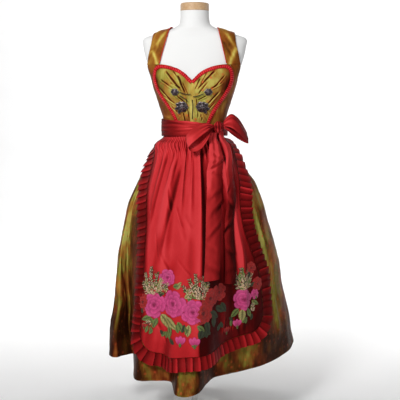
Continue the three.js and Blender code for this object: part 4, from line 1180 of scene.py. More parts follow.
    def over_shoulder(self, x: Array, turn: Array) -> Array:
        """Points of the form cut lengthwise at x, from the front (0) over the top (90) to the back (180)."""
        ahead, rise = -np.cos(np.radians(turn)), np.sin(np.radians(turn))
        near, far = np.zeros_like(x), np.full_like(x, 170.0)
        for _ in range(30):
            reach = (near + far) / 2
            z = self.slice_z + rise * reach
            y = self.slice_y + ahead * reach - self.body.back(z)
            square = self.body.square(z)
            wide = (np.abs(x) / self.body.width(z)) ** square
            outside = wide + (np.abs(y) / self.body.depth(z)) ** square > 1
            far, near = np.where(outside, reach, far), np.where(outside, near, reach)
        return np.stack([x, self.slice_y + ahead * near, self.slice_z + rise * near], -1)

    def turn_at(self, x: Array, z: float, front: bool) -> Array:
        """Turn at which a lengthwise slice reaches a height, in front or behind."""
        low, high = np.full_like(x, -60.0), np.full_like(x, 90.0)
        for _ in range(24):
            turn = (low + high) / 2
            above = self.over_shoulder(x, turn if front else 180 - turn)[..., 2] > z
            high, low = np.where(above, turn, high), np.where(above, low, turn)
        return low if front else 180 - low

    def on_strap(self, across: Array, along: Array, lift: Array | float) -> Array:
        """Points of the wearer's left strap, moved out from the shoulder by lift."""
        x = mix(self.strap_inner(along), self.strap_outer(along), across)
        turn = mix(self.turn_at(x, self.strap_front, True), self.turn_at(x, self.strap_back, False), along)
        skin = self.over_shoulder(x, turn)
        normals = unit(np.cross(np.gradient(skin, axis=1), np.gradient(skin, axis=0)))
        centre = np.stack([skin[..., 0], np.full_like(x, self.slice_y), np.full_like(x, self.slice_z)], -1)
        inward = np.sum(normals * (skin - centre), -1, keepdims=True) < 0
        return skin + np.where(inward, -normals, normals) * np.asarray(lift)[..., None]

    def straps(self) -> None:
        """Both straps with the piping on their neck edge."""
        columns, rows = self.strap_cells
        ahead, behind = self.strap_lap
        across, along = grid(columns, np.linspace(-ahead, 1 + behind, rows))
        for side, word in ((1, "left"), (-1, "right")):
            soft = np.sin(np.pi * np.clip(along, 0.02, 0.98)) ** 0.5 * np.sin(np.pi * across)
            wave = Unevenness(5 + side)
            slant = across * 1.5 + along * (3.4 + 0.4 * side)
            fold = np.sin((slant + 0.3 * wave(along * 5, across * 1.5)) * np.pi) ** 2
            fold = fold * (0.7 + 0.5 * wave(along * 4 + 7, across + 3))
            streaks = sum(streak.relief(across, 1000 * along) for streak in STRAP_STREAKS[side])
            lap = 1.4 * (ease(along, 0.05, 0.01) + ease(along, 0.95, 0.99))
            folds = (2.6 * fold + 3 * streaks) * soft
            lift = self.lift + 1 + lap + folds + 0.3 * wave(along * 30, across * 6)
            outer = self.on_strap(across, along, lift) * np.array([side, 1, 1])
            uv = np.stack([across * 50, along * 240], -1) * MM
            cloud = 0.22 * wave(along * 9, across * 2)
            # painted highlights on the crests of the folds and along the streaks, with mottling
            tone = np.clip(0.36 + 0.45 * (fold * soft) ** 2 + streaks + cloud, 0, 1)
            walls = Walls()
            walls.add(outer, self.cloth, tone=tone, uv=uv, core=(side * 125, self.slice_y, self.slice_z))
            piece = walls.build(f"shoulder_strap_{word}", material(Finish.PLAIN))
            place(piece, "shot_taffeta", f"strap_{word}")
            edge = outer[0] + np.array([-side * 0.9, 0, 0.2])
            tube = Walls()
            tube.add(round_cord(edge[2:-2], 1.3, 10), 0.3, ring=True, tone=0.55, core=tuple(edge[80]))
            place(tube.build(f"strap_piping_{word}", material(Finish.TRIM)), "red_trim")

    def trim(self, side: int) -> None:
        """Ruched ribbon along the heart neckline and the plastron's seam."""
        knots = np.array(self.trim_route, float)
        fine = spline(knots, np.linspace(0, len(knots) - 1, 1200))
        length = run_lengths(fine)
        count = int(length[-1] / self.rib_pitch * 6)
        even = np.linspace(0, length[-1], count)
        middle = np.stack([np.interp(even, length, fine[:, k]) for k in (0, 1)], -1)
        ahead = unit(np.gradient(middle, axis=0))
        across, step = grid(13, np.arange(count))
        wander = Unevenness(70 + side)
        place_at = even[step] + 1.6 * wander(even[step] / 9, across * 2)
        rib = np.sin(np.pi * place_at / self.rib_pitch) ** 2
        crown = np.sin(np.pi * across)
        off = (across - 0.5) * 2 * (self.trim_half + 0.5 * wander(even[step] / 6, across * 0 + 5))
        x = np.maximum(middle[step, 0] + ahead[step, 1] * off, self.gap)
        z = middle[step, 1] - ahead[step, 0] * off
        stitched = 1 - 0.5 * np.exp(-(((across - 0.5) / 0.09) ** 2))
        lift = self.lift + 2.7 + self.trim_crown * crown**0.7 + 1.8 * rib * crown**0.5 * stitched
        outer = self.body.on(side * self.body.angle_at(x, z, lift), z, lift)
        # painted highlight on each rib's crown and painted shade between the ribs, with mottling
        tone = np.clip(0.05 + 0.85 * rib * crown**0.5 + 0.2 * wander(even[step] / 20, across), 0, 1)
        uv = np.stack([across * 17, even[step]], -1) * MM
        walls = Walls()
        walls.add(outer, 1.2, tone=tone, uv=uv)
        word = "left" if side > 0 else "right"
        piece = walls.build(f"ruched_trim_{word}", material(Finish.TRIM), 70)
        place(piece, "red_trim", f"trim_{word}")

    def build(self) -> None:
        """Builds the whole bodice."""
        for side in (1, -1):
            self.plastron(side)
            self.trim(side)
        self.panels()
        self.straps()


def round_cord(path: Array, radius: float, sides: int = 8) -> Array:
    """Grid of a round tube's points along a path.

    Args:
        path: points in millimetres.
        radius: of the tube.
        sides: corners of its section.

    Returns:
        Grid of points, round the tube and then along it.
    """
    ahead = unit(np.gradient(path, axis=0))
    up = np.array([0.0, 0.0, 1.0])
    side = unit(np.cross(ahead, np.where(np.abs(ahead[:, 2:3]) > 0.9, [1.0, 0, 0], up)))
    over = np.cross(side, ahead)
    turn = np.arange(sides) * 2 * np.pi / sides
    return path[None] + radius * (
        np.cos(turn)[:, None, None] * side[None] + np.sin(turn)[:, None, None] * over[None]
    )


# ---- clasps and lacing
@dataclass(frozen=True)
class Clasp:
    """An antiqued rose clasp: its place, half sizes, distance from the cloth and its leaves' share."""

    word: str
    x: float
    z: float
    width: float
    height: float
    gap: float
    leaf: float


@dataclass
class Fastenings:
    """Four rose clasps and the thin cords laced between them."""

    bodice: Bodice
    clasps: tuple[Clasp, ...] = (
        Clasp("upper", 64, 1314, 16, 14, 1.5, 0.5),
        Clasp("lower", 38, 1257, 23, 23, 3.4, 1.0),
    )
    cords: tuple[tuple[str, str, Route], ...] = (
        ("lacing_left_upper", "lace_left_upper", ((-44, 1313), (-24, 1306), (-4, 1306))),
        ("lacing_left_lower", "lace_left_lower", ((-46, 1301), (-30, 1291), (-15, 1279))),
        ("lacing_right_upper", "lace_right_upper", ((46, 1308), (26, 1300), (5, 1296))),
        ("lacing_centre", "lace_centre", ((1, 1285), (3, 1262), (1, 1236), (0, 1212))),
    )
    petal_rings: Rows = (
        (6, 0.55, 0.46, 1.2, 0.25), (5, 0.36, 0.32, 2.6, 0.5), (3, 0.14, 0.2, 3.6, 0.9),
    )
    cord_lift: float = 6
    cord_radius: float = 1.5
    cord_steps: int = 60

    def spot(self, x: float, z: float, lift: float) -> tuple[Array, Array]:
        """Place on the bodice's front and the direction that it faces."""
        body = self.bodice.body
        at = lambda px, pz: body.front(np.array(px, float), np.array(pz, float), lift)
        step = 4.0
        out = np.cross(at(x + step, z) - at(x - step, z), at(x, z + step) - at(x, z - step))
        return at(x, z), unit(out)

    def petal(self, size: Point, at: Point, tilt: Point) -> Piece:
        """One rounded petal or bud, flattened and turned."""
        bpy.ops.object.select_all(action="DESELECT")
        bpy.ops.mesh.primitive_uv_sphere_add(segments=14, ring_count=8, radius=1, location=at, rotation=tilt)
        piece = bpy.context.active_object
        piece.scale = size
        return piece

    def rose(self, clasp: Clasp, side: int) -> Piece:
        """A rose of three rings of petals with a pointed leaf to its outer side, modelled facing +Z."""
        parts = []
        for count, reach, size, rise, lean in self.petal_rings:
            for i in range(count):
                turn = 2 * math.pi * (i + 0.5 * (count % 2)) / count
                at = (reach * clasp.width * math.cos(turn), reach * clasp.height * math.sin(turn), rise)
                shape = (size * clasp.width, size * clasp.height * 1.1, 1.5)
                parts.append(self.petal(shape, at, (0, lean, turn)))
        parts.append(self.petal((3.2, 3.2, 2.2), (0, 0, 4.2), (0, 0, 0)))
        for turn, long in ((-0.25, 0.62), (-1.0, 0.66), (0.55, 0.5)):
            reach = 0.62 * clasp.leaf + 0.1
            at = (side * reach * clasp.width * math.cos(turn), reach * clasp.height * math.sin(turn), 1.2)
            shape = (long * clasp.width * (0.5 + 0.5 * clasp.leaf), 0.3 * clasp.height, 1.3)
            parts.append(self.petal(shape, at, (0, 0, side * turn)))
        ring = self.eyelet(clasp, side)
        parts.append(ring)
        choose(*parts)
        bpy.ops.object.transform_apply(location=True, rotation=True, scale=True)
        bpy.ops.object.join()
        return bpy.context.active_object

    def eyelet(self, clasp: Clasp, side: int) -> Piece:
        """The small ring on the clasp's inner side that the cord runs through."""
        bpy.ops.object.select_all(action="DESELECT")
        bpy.ops.mesh.primitive_torus_add(
            major_segments=20,
            minor_segments=8,
            major_radius=3.0,
            minor_radius=0.9,
            location=(-side * (clasp.width - 2.6), 0.1 * clasp.height, 1.0),
        )
        return bpy.context.active_object

    def build(self) -> None:
        """Builds the clasps and the cords."""
        for clasp in self.clasps:
            for side, word in ((1, "left"), (-1, "right")):
                piece = self.rose(clasp, side)
                piece.name = f"rose_clasp_{clasp.word}_{word}"
                lift = self.bodice.lift + 1.3 + clasp.gap
                at, out = self.spot(side * clasp.x, clasp.z, lift)
                piece.scale = (MM, MM, MM)
                piece.location = at * MM
                piece.rotation_mode = "QUATERNION"
                piece.rotation_quaternion = Vector(out).to_track_quat("Z", "Y")
                settle(piece, material(Finish.METAL), 60)
                place(piece, "antique_metal", f"clasp_{clasp.word}_{word}")
        for name, node, route in self.cords:
            knots = np.array([self.spot(x, z, self.bodice.lift + self.cord_lift)[0] for x, z in route])
            path = spline(knots, np.linspace(0, len(knots) - 1, self.cord_steps))
            walls = Walls()
            around, along = grid(np.arange(8) / 8, self.cord_steps)
            length = float(run_lengths(path)[-1])
            uv = np.stack([around, along * length * MM], -1)
            middle = tuple(path[self.cord_steps // 2])
            walls.add(round_cord(path, self.cord_radius), 0.5, ring=True, uv=uv, core=middle)
            place(walls.build(name, material(Finish.CORD), 80), "lace_cord", node)


# ---- skirt
def glow(spots: Sequence[tuple[float, ...]], angle: Array, z: Array) -> Array:
    """Tone gained near the places of a table."""
    return sum(
        amount * np.exp(-(((angle - a) / half) ** 2) - ((z - height) / reach) ** 2)
        for a, height, half, reach, amount in spots
    )


SKIRT_DRAPES = (
    Drape(66, 84, 1010, 380, 1.6, 1.4, 6),
    Drape(70, 88, 960, 420, 1.8, 1.2, -5),
    Drape(-73, -84, 900, 300, 1.6, 1.6, 5),
    Drape(-79, -95, 980, 360, 2, 2, -5),
    Drape(110, 116, 1000, 420, 2.2, 1.6, 5),
    Drape(150, 146, 1040, 500, 2.2, 2, 5),
    Drape(-120, -127, 1000, 380, 2.4, 1.8, 5),
    Drape(-150, -148, 1030, 460, 2, 2.4, 5),
    Drape(180, 176, 980, 400, 2.2, 2, 5),
)
TONE_SPOTS = (                 # painted light where the shot cloth catches the light, and painted shade where the amount is negative: angle, height, half sizes, amount
    (71, 700, 3.5, 170, 0.75),
    (64, 560, 5, 120, 0.35),
    (-78, 800, 7, 130, 0.36),
    (-84, 640, 4, 110, 0.3),
    (-80, 430, 9, 110, 0.08),
    (-92, 450, 1.6, 260, 0.6),
    (8, 270, 10, 60, 0.1),
    (52, 320, 12, 60, 0.42),
    (-72, 280, 5, 40, 0.35),
    (-40, 270, 16, 60, -0.5),
    (-79, 300, 9, 50, -0.35),
    (92, 560, 8, 200, 0.22),
    (70, 500, 6, 140, 0.12),
    (74, 300, 12, 40, 0.25),
    (14, 290, 4, 60, -0.35),
    (-84, 380, 10, 120, -0.25),
    (82, 620, 8, 220, 0.4),
    (-84, 980, 8, 90, -0.12),
    (-90, 760, 3, 120, -0.3),
)


@dataclass
class Skirt:
    """The gathered skirt: rings by height, and the hem's route by fold."""

    waist: float = 1176
    hem_z: float = 250
    gap: float = 0.4
    wall: float = 1.6
    cloth: float = 0.8
    start: float = 0.05
    growth: float = 1.15
    left_seam: int = 7
    right_seam: int = 28
    rings: tuple[tuple[float, float, float, float, float, float], ...] = (
        (1176, 117, 117, 92, 92, 0.6), (1134, 120, 120, 95, 96, 0.7), (1118, 140, 140, 106, 112, 3),
        (1085, 158, 164, 117, 127, 4.5), (1005, 200, 207, 149, 164, 3.2), (957, 226, 243, 171, 189, 2),
        (876, 264, 280, 205, 226, 1), (795, 284, 303, 235, 257, 0), (714, 301, 328, 262, 285, 0),
        (632, 311, 350, 285, 309, 0), (548, 319, 362, 305, 331, 0), (465, 324, 379, 322, 350, 0),
        (381, 338, 398, 340, 369, 0), (313, 343, 408, 352, 381, 0), (250, 347, 421, 362, 392, 0),
    )
    folds: tuple[tuple[float, float, float], ...] = (
        (-180, 392, 0), (-167, 350, 4), (-154, 391, 0), (-141, 343, 6), (-128, 379, 0),
        (-115, 330, 4), (-102, 356, 0), (-91, 340, 2), (-81, 347, 0), (-75, 322, 0),
        (-80, 282, 0), (-84, 248, -2), (-68, 252, -4), (-47, 298, -5), (-31, 373, -5),
        (-21, 350, -4), (-11, 334, -4), (-7, 384, -8), (-4, 436, -15), (1, 446, -18),
        (7, 426, -10), (12, 362, 0), (19, 300, 0), (32, 283, 0), (46, 283, 0), (62, 306, 2),
        (80, 340, 5), (96, 396, 20), (107, 421, 36), (121, 388, 20), (136, 348, 6),
        (151, 391, 0), (166, 352, 4),
    )
    envelope_low: float = 290
    envelope_step: float = 12
    window: int = 4

    def __post_init__(self) -> None:
        """Works out the ring curves, the hem's lengths and the envelope that the apron lies on."""
        columns = list(zip(*self.rings))
        self.left, self.right, self.front, self.back, self.gather = (
            Curve(*zip(columns[0], column)) for column in columns[1:]
        )
        self.rows = np.array(self.folds, float)
        s = np.arange(len(self.rows) * 8 + 1) / 8
        hem = self.hem(s)
        flat = polar(hem[..., 0], hem[..., 1], 0.0)
        length = run_lengths(flat)
        self.lengths = Curve(*zip(s, length))
        self.hem_length = length[-1]
        self.envelope = self.make_envelope()

    def hem(self, s: Array) -> Array:
        """Angle, radius and lift of the hem at fold number s."""
        return spline(self.rows, s, (360, 0, 0))

    def reach(self, z: Array, angle: Array) -> Array:
        """Distance of a ring from the axis."""
        side, front = np.sin(np.radians(angle)), np.cos(np.radians(angle))
        wide = np.where(side < 0, self.left(z), self.right(z))
        deep = np.where(front > 0, self.front(z), self.back(z))
        return 1 / np.hypot(side / wide, front / deep)

    def at(self, s: Array, t: Array) -> tuple[Array, Array, Array]:
        """Angle, radius and height at fold number s and share t of the length, without gathers."""
        hem = self.hem(s)
        angle_h, radius_h, lift = hem[..., 0], hem[..., 1], hem[..., 2]
        count = len(self.rows)
        turns = np.floor(s / count)
        waist_angle = -180 + 360 * (turns + self.lengths(s - turns * count) / self.hem_length)
        z = mix(self.waist - self.gap, self.hem_z, t) + lift * t**2
        flat = mix(self.waist, self.hem_z, t)
        full = self.reach(np.full_like(angle_h, self.hem_z), angle_h)
        spread = np.clip(t * full / self.reach(flat, angle_h), 0, 1)
        angle = mix(waist_angle, angle_h, spread)
        grown = np.clip((t - self.start) / (1 - self.start), 0, 1) ** self.growth
        fold = 1 + (radius_h / full - 1) * grown
        return angle, self.reach(flat, angle) * fold, z

    def make_envelope(self) -> Array:
        """Outermost reach at whole degrees and steps of height."""
        s = np.arange(len(self.rows) * 10 + 1) / 10
        lift = self.hem(s)[..., 2]
        levels = []
        z = self.envelope_low
        drop = self.waist - self.hem_z
        while z <= self.waist:
            t = np.full_like(s, (self.waist - z) / drop)
            for _ in range(3):
                t = np.clip((self.waist - z + lift * t**2) / drop, 0, 1)
            angle, radius, _ = self.at(s, t)
            reach = np.zeros(361)
            for k in range(len(s) - 1):
                a, b = sorted(((angle[k], radius[k]), (angle[k + 1], radius[k + 1])))
                whole = np.arange(math.floor(a[0]), math.ceil(b[0]) + 1)
                share = np.clip((whole - a[0]) / ((b[0] - a[0]) or 1), 0, 1)
                slot = (whole + 180) % 360
                reach[slot] = np.maximum(reach[slot], mix(a[1], b[1], share))
            reach[360] = reach[0]
            around = [reach[(np.arange(361) + d) % 360] for d in range(-self.window, self.window + 1)]
            wide = np.max(around, axis=0)
            even = np.mean([wide[(np.arange(361) + d) % 360] for d in range(-4, 5)], axis=0)
            levels.append(np.maximum(even, reach))
            z += self.envelope_step
        return np.array(levels)

    def outermost(self, angle: Array, z: Array) -> Array:
        """Reach of the skirt's envelope."""
        row = np.clip((z - self.envelope_low) / self.envelope_step, 0, len(self.envelope) - 1.001)
        slot = np.clip(angle + 180, 0, 359.999)
        row, slot = np.broadcast_arrays(row, slot)
        i, k = np.floor(row).astype(int), np.floor(slot).astype(int)
        low = mix(self.envelope[i, k], self.envelope[i, k + 1], slot - k)
        high = mix(self.envelope[i + 1, k], self.envelope[i + 1, k + 1], slot - k)
        return mix(low, high, row - i)

    def panel(
        self, name: str, node: str, start: int, stop: int, per_fold: int, lap: float,
        cut: Pair, area: float
    ) -> None:
        """One gathered panel of the skirt.

        Args:
            name: the piece's name.
            node: the solid that it stands for.
            start: fold number of its first seam.
            stop: fold number of its last seam.
            per_fold: columns of the mesh in a fold.
            lap: folds by which its ends run under the other panel, or stop short of it.
            cut: its cut's width and length; not used.
            area: its cut's area; not used.
        """
        levels = np.concatenate([np.linspace(0, 0.16, 34), np.linspace(0.17, 1, 92)])
        columns = (stop - start) * per_fold + 1
        s, t = grid(np.linspace(start - lap, stop + lap, columns), levels)
        angle, radius, z = self.at(s, t)
        flat = mix(self.waist, self.hem_z, t)
        wave, small = Unevenness(3), Unevenness(4)
        phase = s * 2 + 0.35 * wave(s * 1.3, t * 3)
        gather = self.gather(flat) * np.cos(2 * np.pi * phase) * (0.75 + 0.4 * small(s * 2, t * 5))
        radius = radius + gather
        under = ease(np.abs(angle), 70, 50) * ease(z, 380, 440)
        soft = sum(drape.relief(angle, z) for drape in SKIRT_DRAPES)
        crumple = 1.8 * wave(s * 2.2, z / 48) + 0.8 * small(s * 5, z / 21)
        crumple = crumple * ease(np.abs(np.mod(s, len(self.rows)) - self.left_seam), 0.0, 0.4)
        tuck = 1.7 * (lap > 0) * (ease(s, start + 0.03, start) + ease(s, stop - 0.03, stop))
        open_part = (1 - under) * ease(t, 0.04, 0.16)
        crumple = crumple * np.where(under > 0, 0.4, 1.0) * ease(t, 0.04, 0.2)
        radius = radius + soft * open_part + crumple - tuck
        outer = polar(angle, radius, z)
        spots = glow(TONE_SPOTS, angle, z)
        edge = np.exp(-(((z - (z[:, -1:] + 10)) / 5) ** 2))

        def tone(normals: Array) -> Array:
            """Tone of the cloth: painted light where it faces the front or back and on upward faces, the
            painted light and shade of the spots, painted shade toward the bottom, darker in a narrow band
            just above the hem, with mottling.
            """
            facing = ease(np.abs(normals[..., 1]), 0.55, 1.0)
            high = ease(normals[..., 2], 0.1, 0.45) * 0.15
            low = 0.3 * ease(z, 520, 300)
            cloud = 0.16 * wave(s, z / 90) + 0.12 * small(s * 2.3, z / 34)
            level = 0.2 + 0.52 * facing + high + spots - 0.12 * edge - low + cloud
            return np.clip(level, 0, 1)

        walls = Walls()
        uv = np.stack([self.lengths(np.mod(s, len(self.rows))), z], -1) * MM
        walls.add(outer, self.cloth, tone=tone, uv=uv)
        piece = walls.build(name, material(Finish.BUDDED))
        place(piece, "shot_taffeta", node)

    def build(self) -> None:
        """Builds both panels."""
        left, right = self.left_seam, self.right_seam
        again = left + len(self.rows)
        self.panel("skirt_front_panel", "skirt_front", left, right, 15, -0.003, (1.52, 0.94), 1.1)
        self.panel("skirt_back_panel", "skirt_back", right, again, 18, 0.014, (1.2, 0.94), 0.86)
        log.info("skirt: hem %.3f m all round", float(self.hem_length) * MM)


# ---- apron
APRON_DRAPES = (               # crests in order from the wearer's right, most of them steeper on one side
    Drape(-57, -44, 1120, 760, 4, 3, 7),
    Drape(-44, -30, 1110, 420, 5, 4, 8),
    Drape(-27, -17, 1060, 640, 5.5, 4.4, 12),
    Drape(-9, -8, 1110, 860, 4.6, 3.4, 6),
    Drape(0, 1, 1120, 900, 3.4, 2.8, 6),
    Drape(14, 6.5, 1128, 360, 4.2, 2.4, 12),
    Drape(33, 27, 1100, 400, 4.5, 4.5, 7),
    Drape(46.5, 45, 1100, 470, 2.6, 3.6, 14),
    Drape(64, 56, 1110, 980, 3, 2.6, 5),
    Drape(-20, -18, 520, 360, 3, 4, 6),
    Drape(26, 24, 560, 360, 4, 3, 7),
)
APRON_SHADES = (               # soft troughs between the crests, and one light ridge, painted into the tone as shade and highlight and shaped a little; heights are in tones
    Drape(-40, -37, 1090, 850, 2, 1.2, -1.4),
    Drape(-15, -21.5, 1040, 730, 2.4, 1.2, -1.3),
    Drape(-8.6, -7, 1124, 900, 1.1, 1.6, -1.2),
    Drape(-31, -30, 1120, 1010, 1.2, 1.4, -0.8),
    Drape(-22, -22, 1116, 1000, 1.2, 1.2, -0.7),
    Drape(1, 0, 1120, 960, 1, 1.4, -0.7),
    Drape(-27, -27, 1080, 800, 3, 3, 0.5),
    Drape(3, 1, 1090, 760, 3, 4, 0.45),
    Drape(-48, -41, 1080, 880, 1.6, 2, -0.7),
    Drape(-12, -15, 700, 560, 2.6, 3.6, -0.55),
    Drape(-25, -26, 800, 580, 1.6, 3.4, -0.6),
    Drape(2.5, 3.5, 800, 600, 2.2, 2.2, -0.5),
    Drape(-24, -25, 500, 390, 2, 3, -0.6),
    Drape(38, 41, 520, 410, 1.4, 2.6, -0.7),
    Drape(47, 46, 500, 420, 2, 1.4, -0.6),
)
APRON_SPOTS = (                # painted light on the red cloth: angle, height, half sizes, amount
    (46, 880, 8, 210, 0.5),
    (62, 1020, 7, 90, 0.34),
    (38, 405, 18, 60, 0.26),
    (31, 900, 4.5, 130, 0.26),
    (56, 700, 7, 160, 0.14),
    (-6, 1090, 30, 30, 0.06),
)
APRON_CREASES = (              # slanting creases of the pressed cloth: across and up, in millimetres
    Crease((-128, 960), (-88, 872), 5, 1.8),
    Crease((-70, 890), (-22, 812), 4, 2),
    Crease((-44, 842), (-6, 770), 8, 0.9),
    Crease((-16, 862), (22, 816), 8, 0.7),
    Crease((-110, 720), (-52, 640), 5, 1.4),
    Crease((-150, 790), (-122, 700), 4, 1.4),
    Crease((-36, 700), (18, 650), 4, 1.2),
    Crease((-96, 470), (-60, 402), 4, 2),
    Crease((150, 480), (132, 420), 4, 2.4),
    Crease((188, 470), (176, 420), 3.6, 2.2),
    Crease((226, 900), (206, 780), 4, 2),
)


@dataclass
class Apron:
    """Taffeta apron with gathers under the sash, soft folds and a knife-pleated ruffle."""

    skirt: Skirt
    top: float = 1158
    wall: float = 1.6
    cloth: float = 0.7
    columns: int = 240
    gathers: int = 22
    corner: float = 70
    bottom_width: float = 560
    left: Curve = curve(
        (1160, -88), (1120, -84), (1079, -70), (1022, -62), (960, -56.5), (885, -48.5),
        (800, -42), (712, -37), (620, -33.5), (520, -31), (380, -31),
    )
    right: Curve = curve(
        (1160, 79), (1120, 75), (1079, 71.5), (1022, 66), (960, 58), (885, 52),
        (800, 51.5), (712, 55.5), (620, 61), (520, 63), (380, 62),
    )
    bottom: Curve = curve(
        (-31, 372), (-20, 359), (-12, 358), (0, 369), (10, 373), (20, 379), (30, 387),
        (40, 395), (66, 405),
    )
    stand_off: Curve = curve(
        (1160, 2.6), (1134, 2.4), (1118, 4), (1074, 4.5), (900, 5), (340, 6)
    )
    gather_depth: Curve = curve(
        (1160, 0.5), (1134, 0.5), (1118, 2.2), (1080, 2.6), (1030, 1.1), (985, 0.3), (950, 0)
    )
    per_degree: float = 5.2
    ruffle_width: float = 45
    ruffle_pitch: float = 26
    ruffle_step: float = 6
    ruffle_lift: float = 4.2
    ruffle_seam: float = 1.5
    ruffle_start: float = 22
    ruffle_corner: float = 760
    turn_span: float = 14
    fullness: float = 1.45
    pleat_profile: Rows = (        # share along the pleat, then its rise
        (0.02, 0.02), (0.2, 0.28), (0.4, 0.56), (0.6, 0.8), (0.8, 0.95), (0.94, 1), (1.01, 0.94),
        (1, 0.84), (0.9, 0.66), (0.8, 0.46), (0.77, 0.3), (0.82, 0.14), (0.93, 0.05),
    )
    light: Point = (-0.35, -0.9, 0.25)

    def end(self, u: Array) -> Array:
        """Height of the lower seam across the apron, with rounded corners."""
        seam = self.bottom(mix(self.left(380.0), self.right(380.0), u))
        inset = np.minimum(u, 1 - u) * self.bottom_width
        short = np.clip(self.corner - inset, 0, self.corner)
        return seam + self.corner - np.sqrt(self.corner**2 - short**2)

    def reach(self, angle: Array, z: Array, inside: Array | float = 1.0) -> Array:
        """Distance of the apron's outer side from the axis, without its fine gathers."""
        folds = sum(drape.relief(angle, z) for drape in APRON_DRAPES)
        folds = folds + 2.2 * sum(drape.relief(angle, z) for drape in APRON_SHADES)
        return self.skirt.outermost(angle, z) + self.stand_off(z) + self.wall + folds * inside

    def on(self, u: Array, v: Array) -> tuple[Array, Array, Array]:
        """Angle, radius and height at a share u across and v down."""
        z = mix(self.top, self.end(u), v)
        angle = mix(self.left(z), self.right(z), u)
        width = (self.right(z) - self.left(z)) * 2.6
        inside = ease(np.minimum(u, 1 - u) * width, 2, 26) * ease(v, 1.03, 0.93)
        wave, small = Unevenness(21), Unevenness(22)
        phase = self.gather_phase(u, v)
        rise = 0.5 - 0.5 * np.cos(2 * np.pi * phase)
        fine = 0.5 - 0.5 * np.cos(2 * np.pi * (phase * 2.1 + 0.6 * small(u * 14, 0.0)))
        near = ease(z, 1040, 1120)
        gather = 2 * self.gather_depth(z) * (rise * (0.8 + 0.5 * small(u * 12, v * 4)) + 0.35 * fine * near)
        gather = gather * ease(z, 1030 + 30 * small(u * 20, 0.5), 1116)
        long_ones = ease(z, 860, 1085) * ease(z, 1136, 1100) * 3.4 * np.clip(wave(u * 12, v * 0.8), 0, 1)
        crumple = 1.3 * wave(u * 7, v * 11 + u * 5) + 0.6 * small(u * 15 + v * 6, v * 22)
        crumple = crumple * ease(z, 1140, 1060)
        crumple = crumple + sum(crease.relief(angle * self.per_degree, z) for crease in APRON_CREASES)
        radius = self.reach(angle, z, inside) + gather + (long_ones + np.clip(crumple, -1.8, 3)) * inside
        return angle, radius, z

    def gather_phase(self, u: Array, v: Array) -> Array:
        """Number of the gather at a share across and down, with its unevenness."""
        return u * self.gathers + 0.3 * Unevenness(21)(u * 9, v * 3)

    def lee(self, angle: Array, z: Array) -> Array:
        """Painted shade beside the long fold in the middle, and low down."""
        crest = Curve((330, 7.0), (430, 7.3), (570, 7.7), (760, 9.4), (950, 12.0), (1130, 15.0))(z)
        beside = angle - crest
        behind = ease(beside, -0.4, 0.8) * (0.24 * ease(beside, 11, 1) + 0.06)
        return behind * ease(z, 1136, 1090) + 0.16 * ease(z, 520, 380)

    def cloth_at(self, angle: Array, z: Array) -> Array:
        """Points of the apron's outer side at an angle and height, for what is sewn on it."""
        angle, z = np.asarray(angle, float), np.asarray(z, float)
        u = (angle - self.left(z)) / (self.right(z) - self.left(z))
        u = np.clip(u, 0.0, 1.0)
        v = np.clip((self.top - z) / (self.top - self.end(u)), 0, 1)
        _, radius, _ = self.on(u, v)
        return polar(angle, radius, z)

    def panel(self) -> None:
        """The apron's panel."""
        levels = np.concatenate([np.linspace(0, 0.14, 34), np.linspace(0.147, 1, 136)])
        u, v = grid(self.columns, levels)
        angle, radius, z = self.on(u, v)
        outer = polar(angle, radius, z)
        folds = sum(drape.relief(angle, z) for drape in APRON_DRAPES)
        gathered = (radius - self.reach(angle, z) - 3) / 3
        creased = sum(crease.relief(angle * self.per_degree, z) for crease in APRON_CREASES)
        rise = 0.5 - 0.5 * np.cos(2 * np.pi * self.gather_phase(u, v) * 2)
        shade = sum(drape.relief(angle, z) for drape in APRON_SHADES)

        def tone(normals: Array) -> Array:
            """Tone of the cloth: painted light where it faces the light and on its fold crests, gathers and
            creases, painted shade toward its edges, in the gathers' hollows, in the troughs and in the lee,
            and the painted light of the spots.
            """
            facing = unit(np.array(self.light))
            light = ease(normals @ facing, 0.45, 0.99)
            edge = ease(u, 0.0, 0.05) * ease(u, 1.0, 0.985)
            lee = self.lee(angle, z)
            level = (0.16 + 0.72 * light + 0.018 * folds) * (0.35 + 0.65 * edge) - lee
            shirred = 0.62 * (rise - 0.5) * ease(z, 1050, 1112)
            level = level + 0.10 * np.clip(gathered, -1, 1) + 0.07 * creased + shirred + 0.36 * shade
            return np.clip(level + glow(APRON_SPOTS, angle, z), 0, 1)

        walls = Walls()
        uv = np.stack([u * 700, z], -1) * MM
        walls.add(outer, self.cloth, tone=tone, uv=uv)
        piece = walls.build("apron_panel", material(Finish.RED))
        place(piece, "red_taffeta", "apron")

    def edge_path(self) -> tuple[Array, Array]:
        """The sewn edge from the wearer's right waist round the bottom, and its lengths."""
        v = np.linspace(0, 1, 240)
        u = np.linspace(0, 1, 420)[1:-1]
        sides = [self.on(np.zeros_like(v), v), self.on(u, np.ones_like(u)), self.on(np.ones_like(v), v[::-1])]
        path = np.concatenate([polar(*side) for side in sides])
        return path, run_lengths(path)

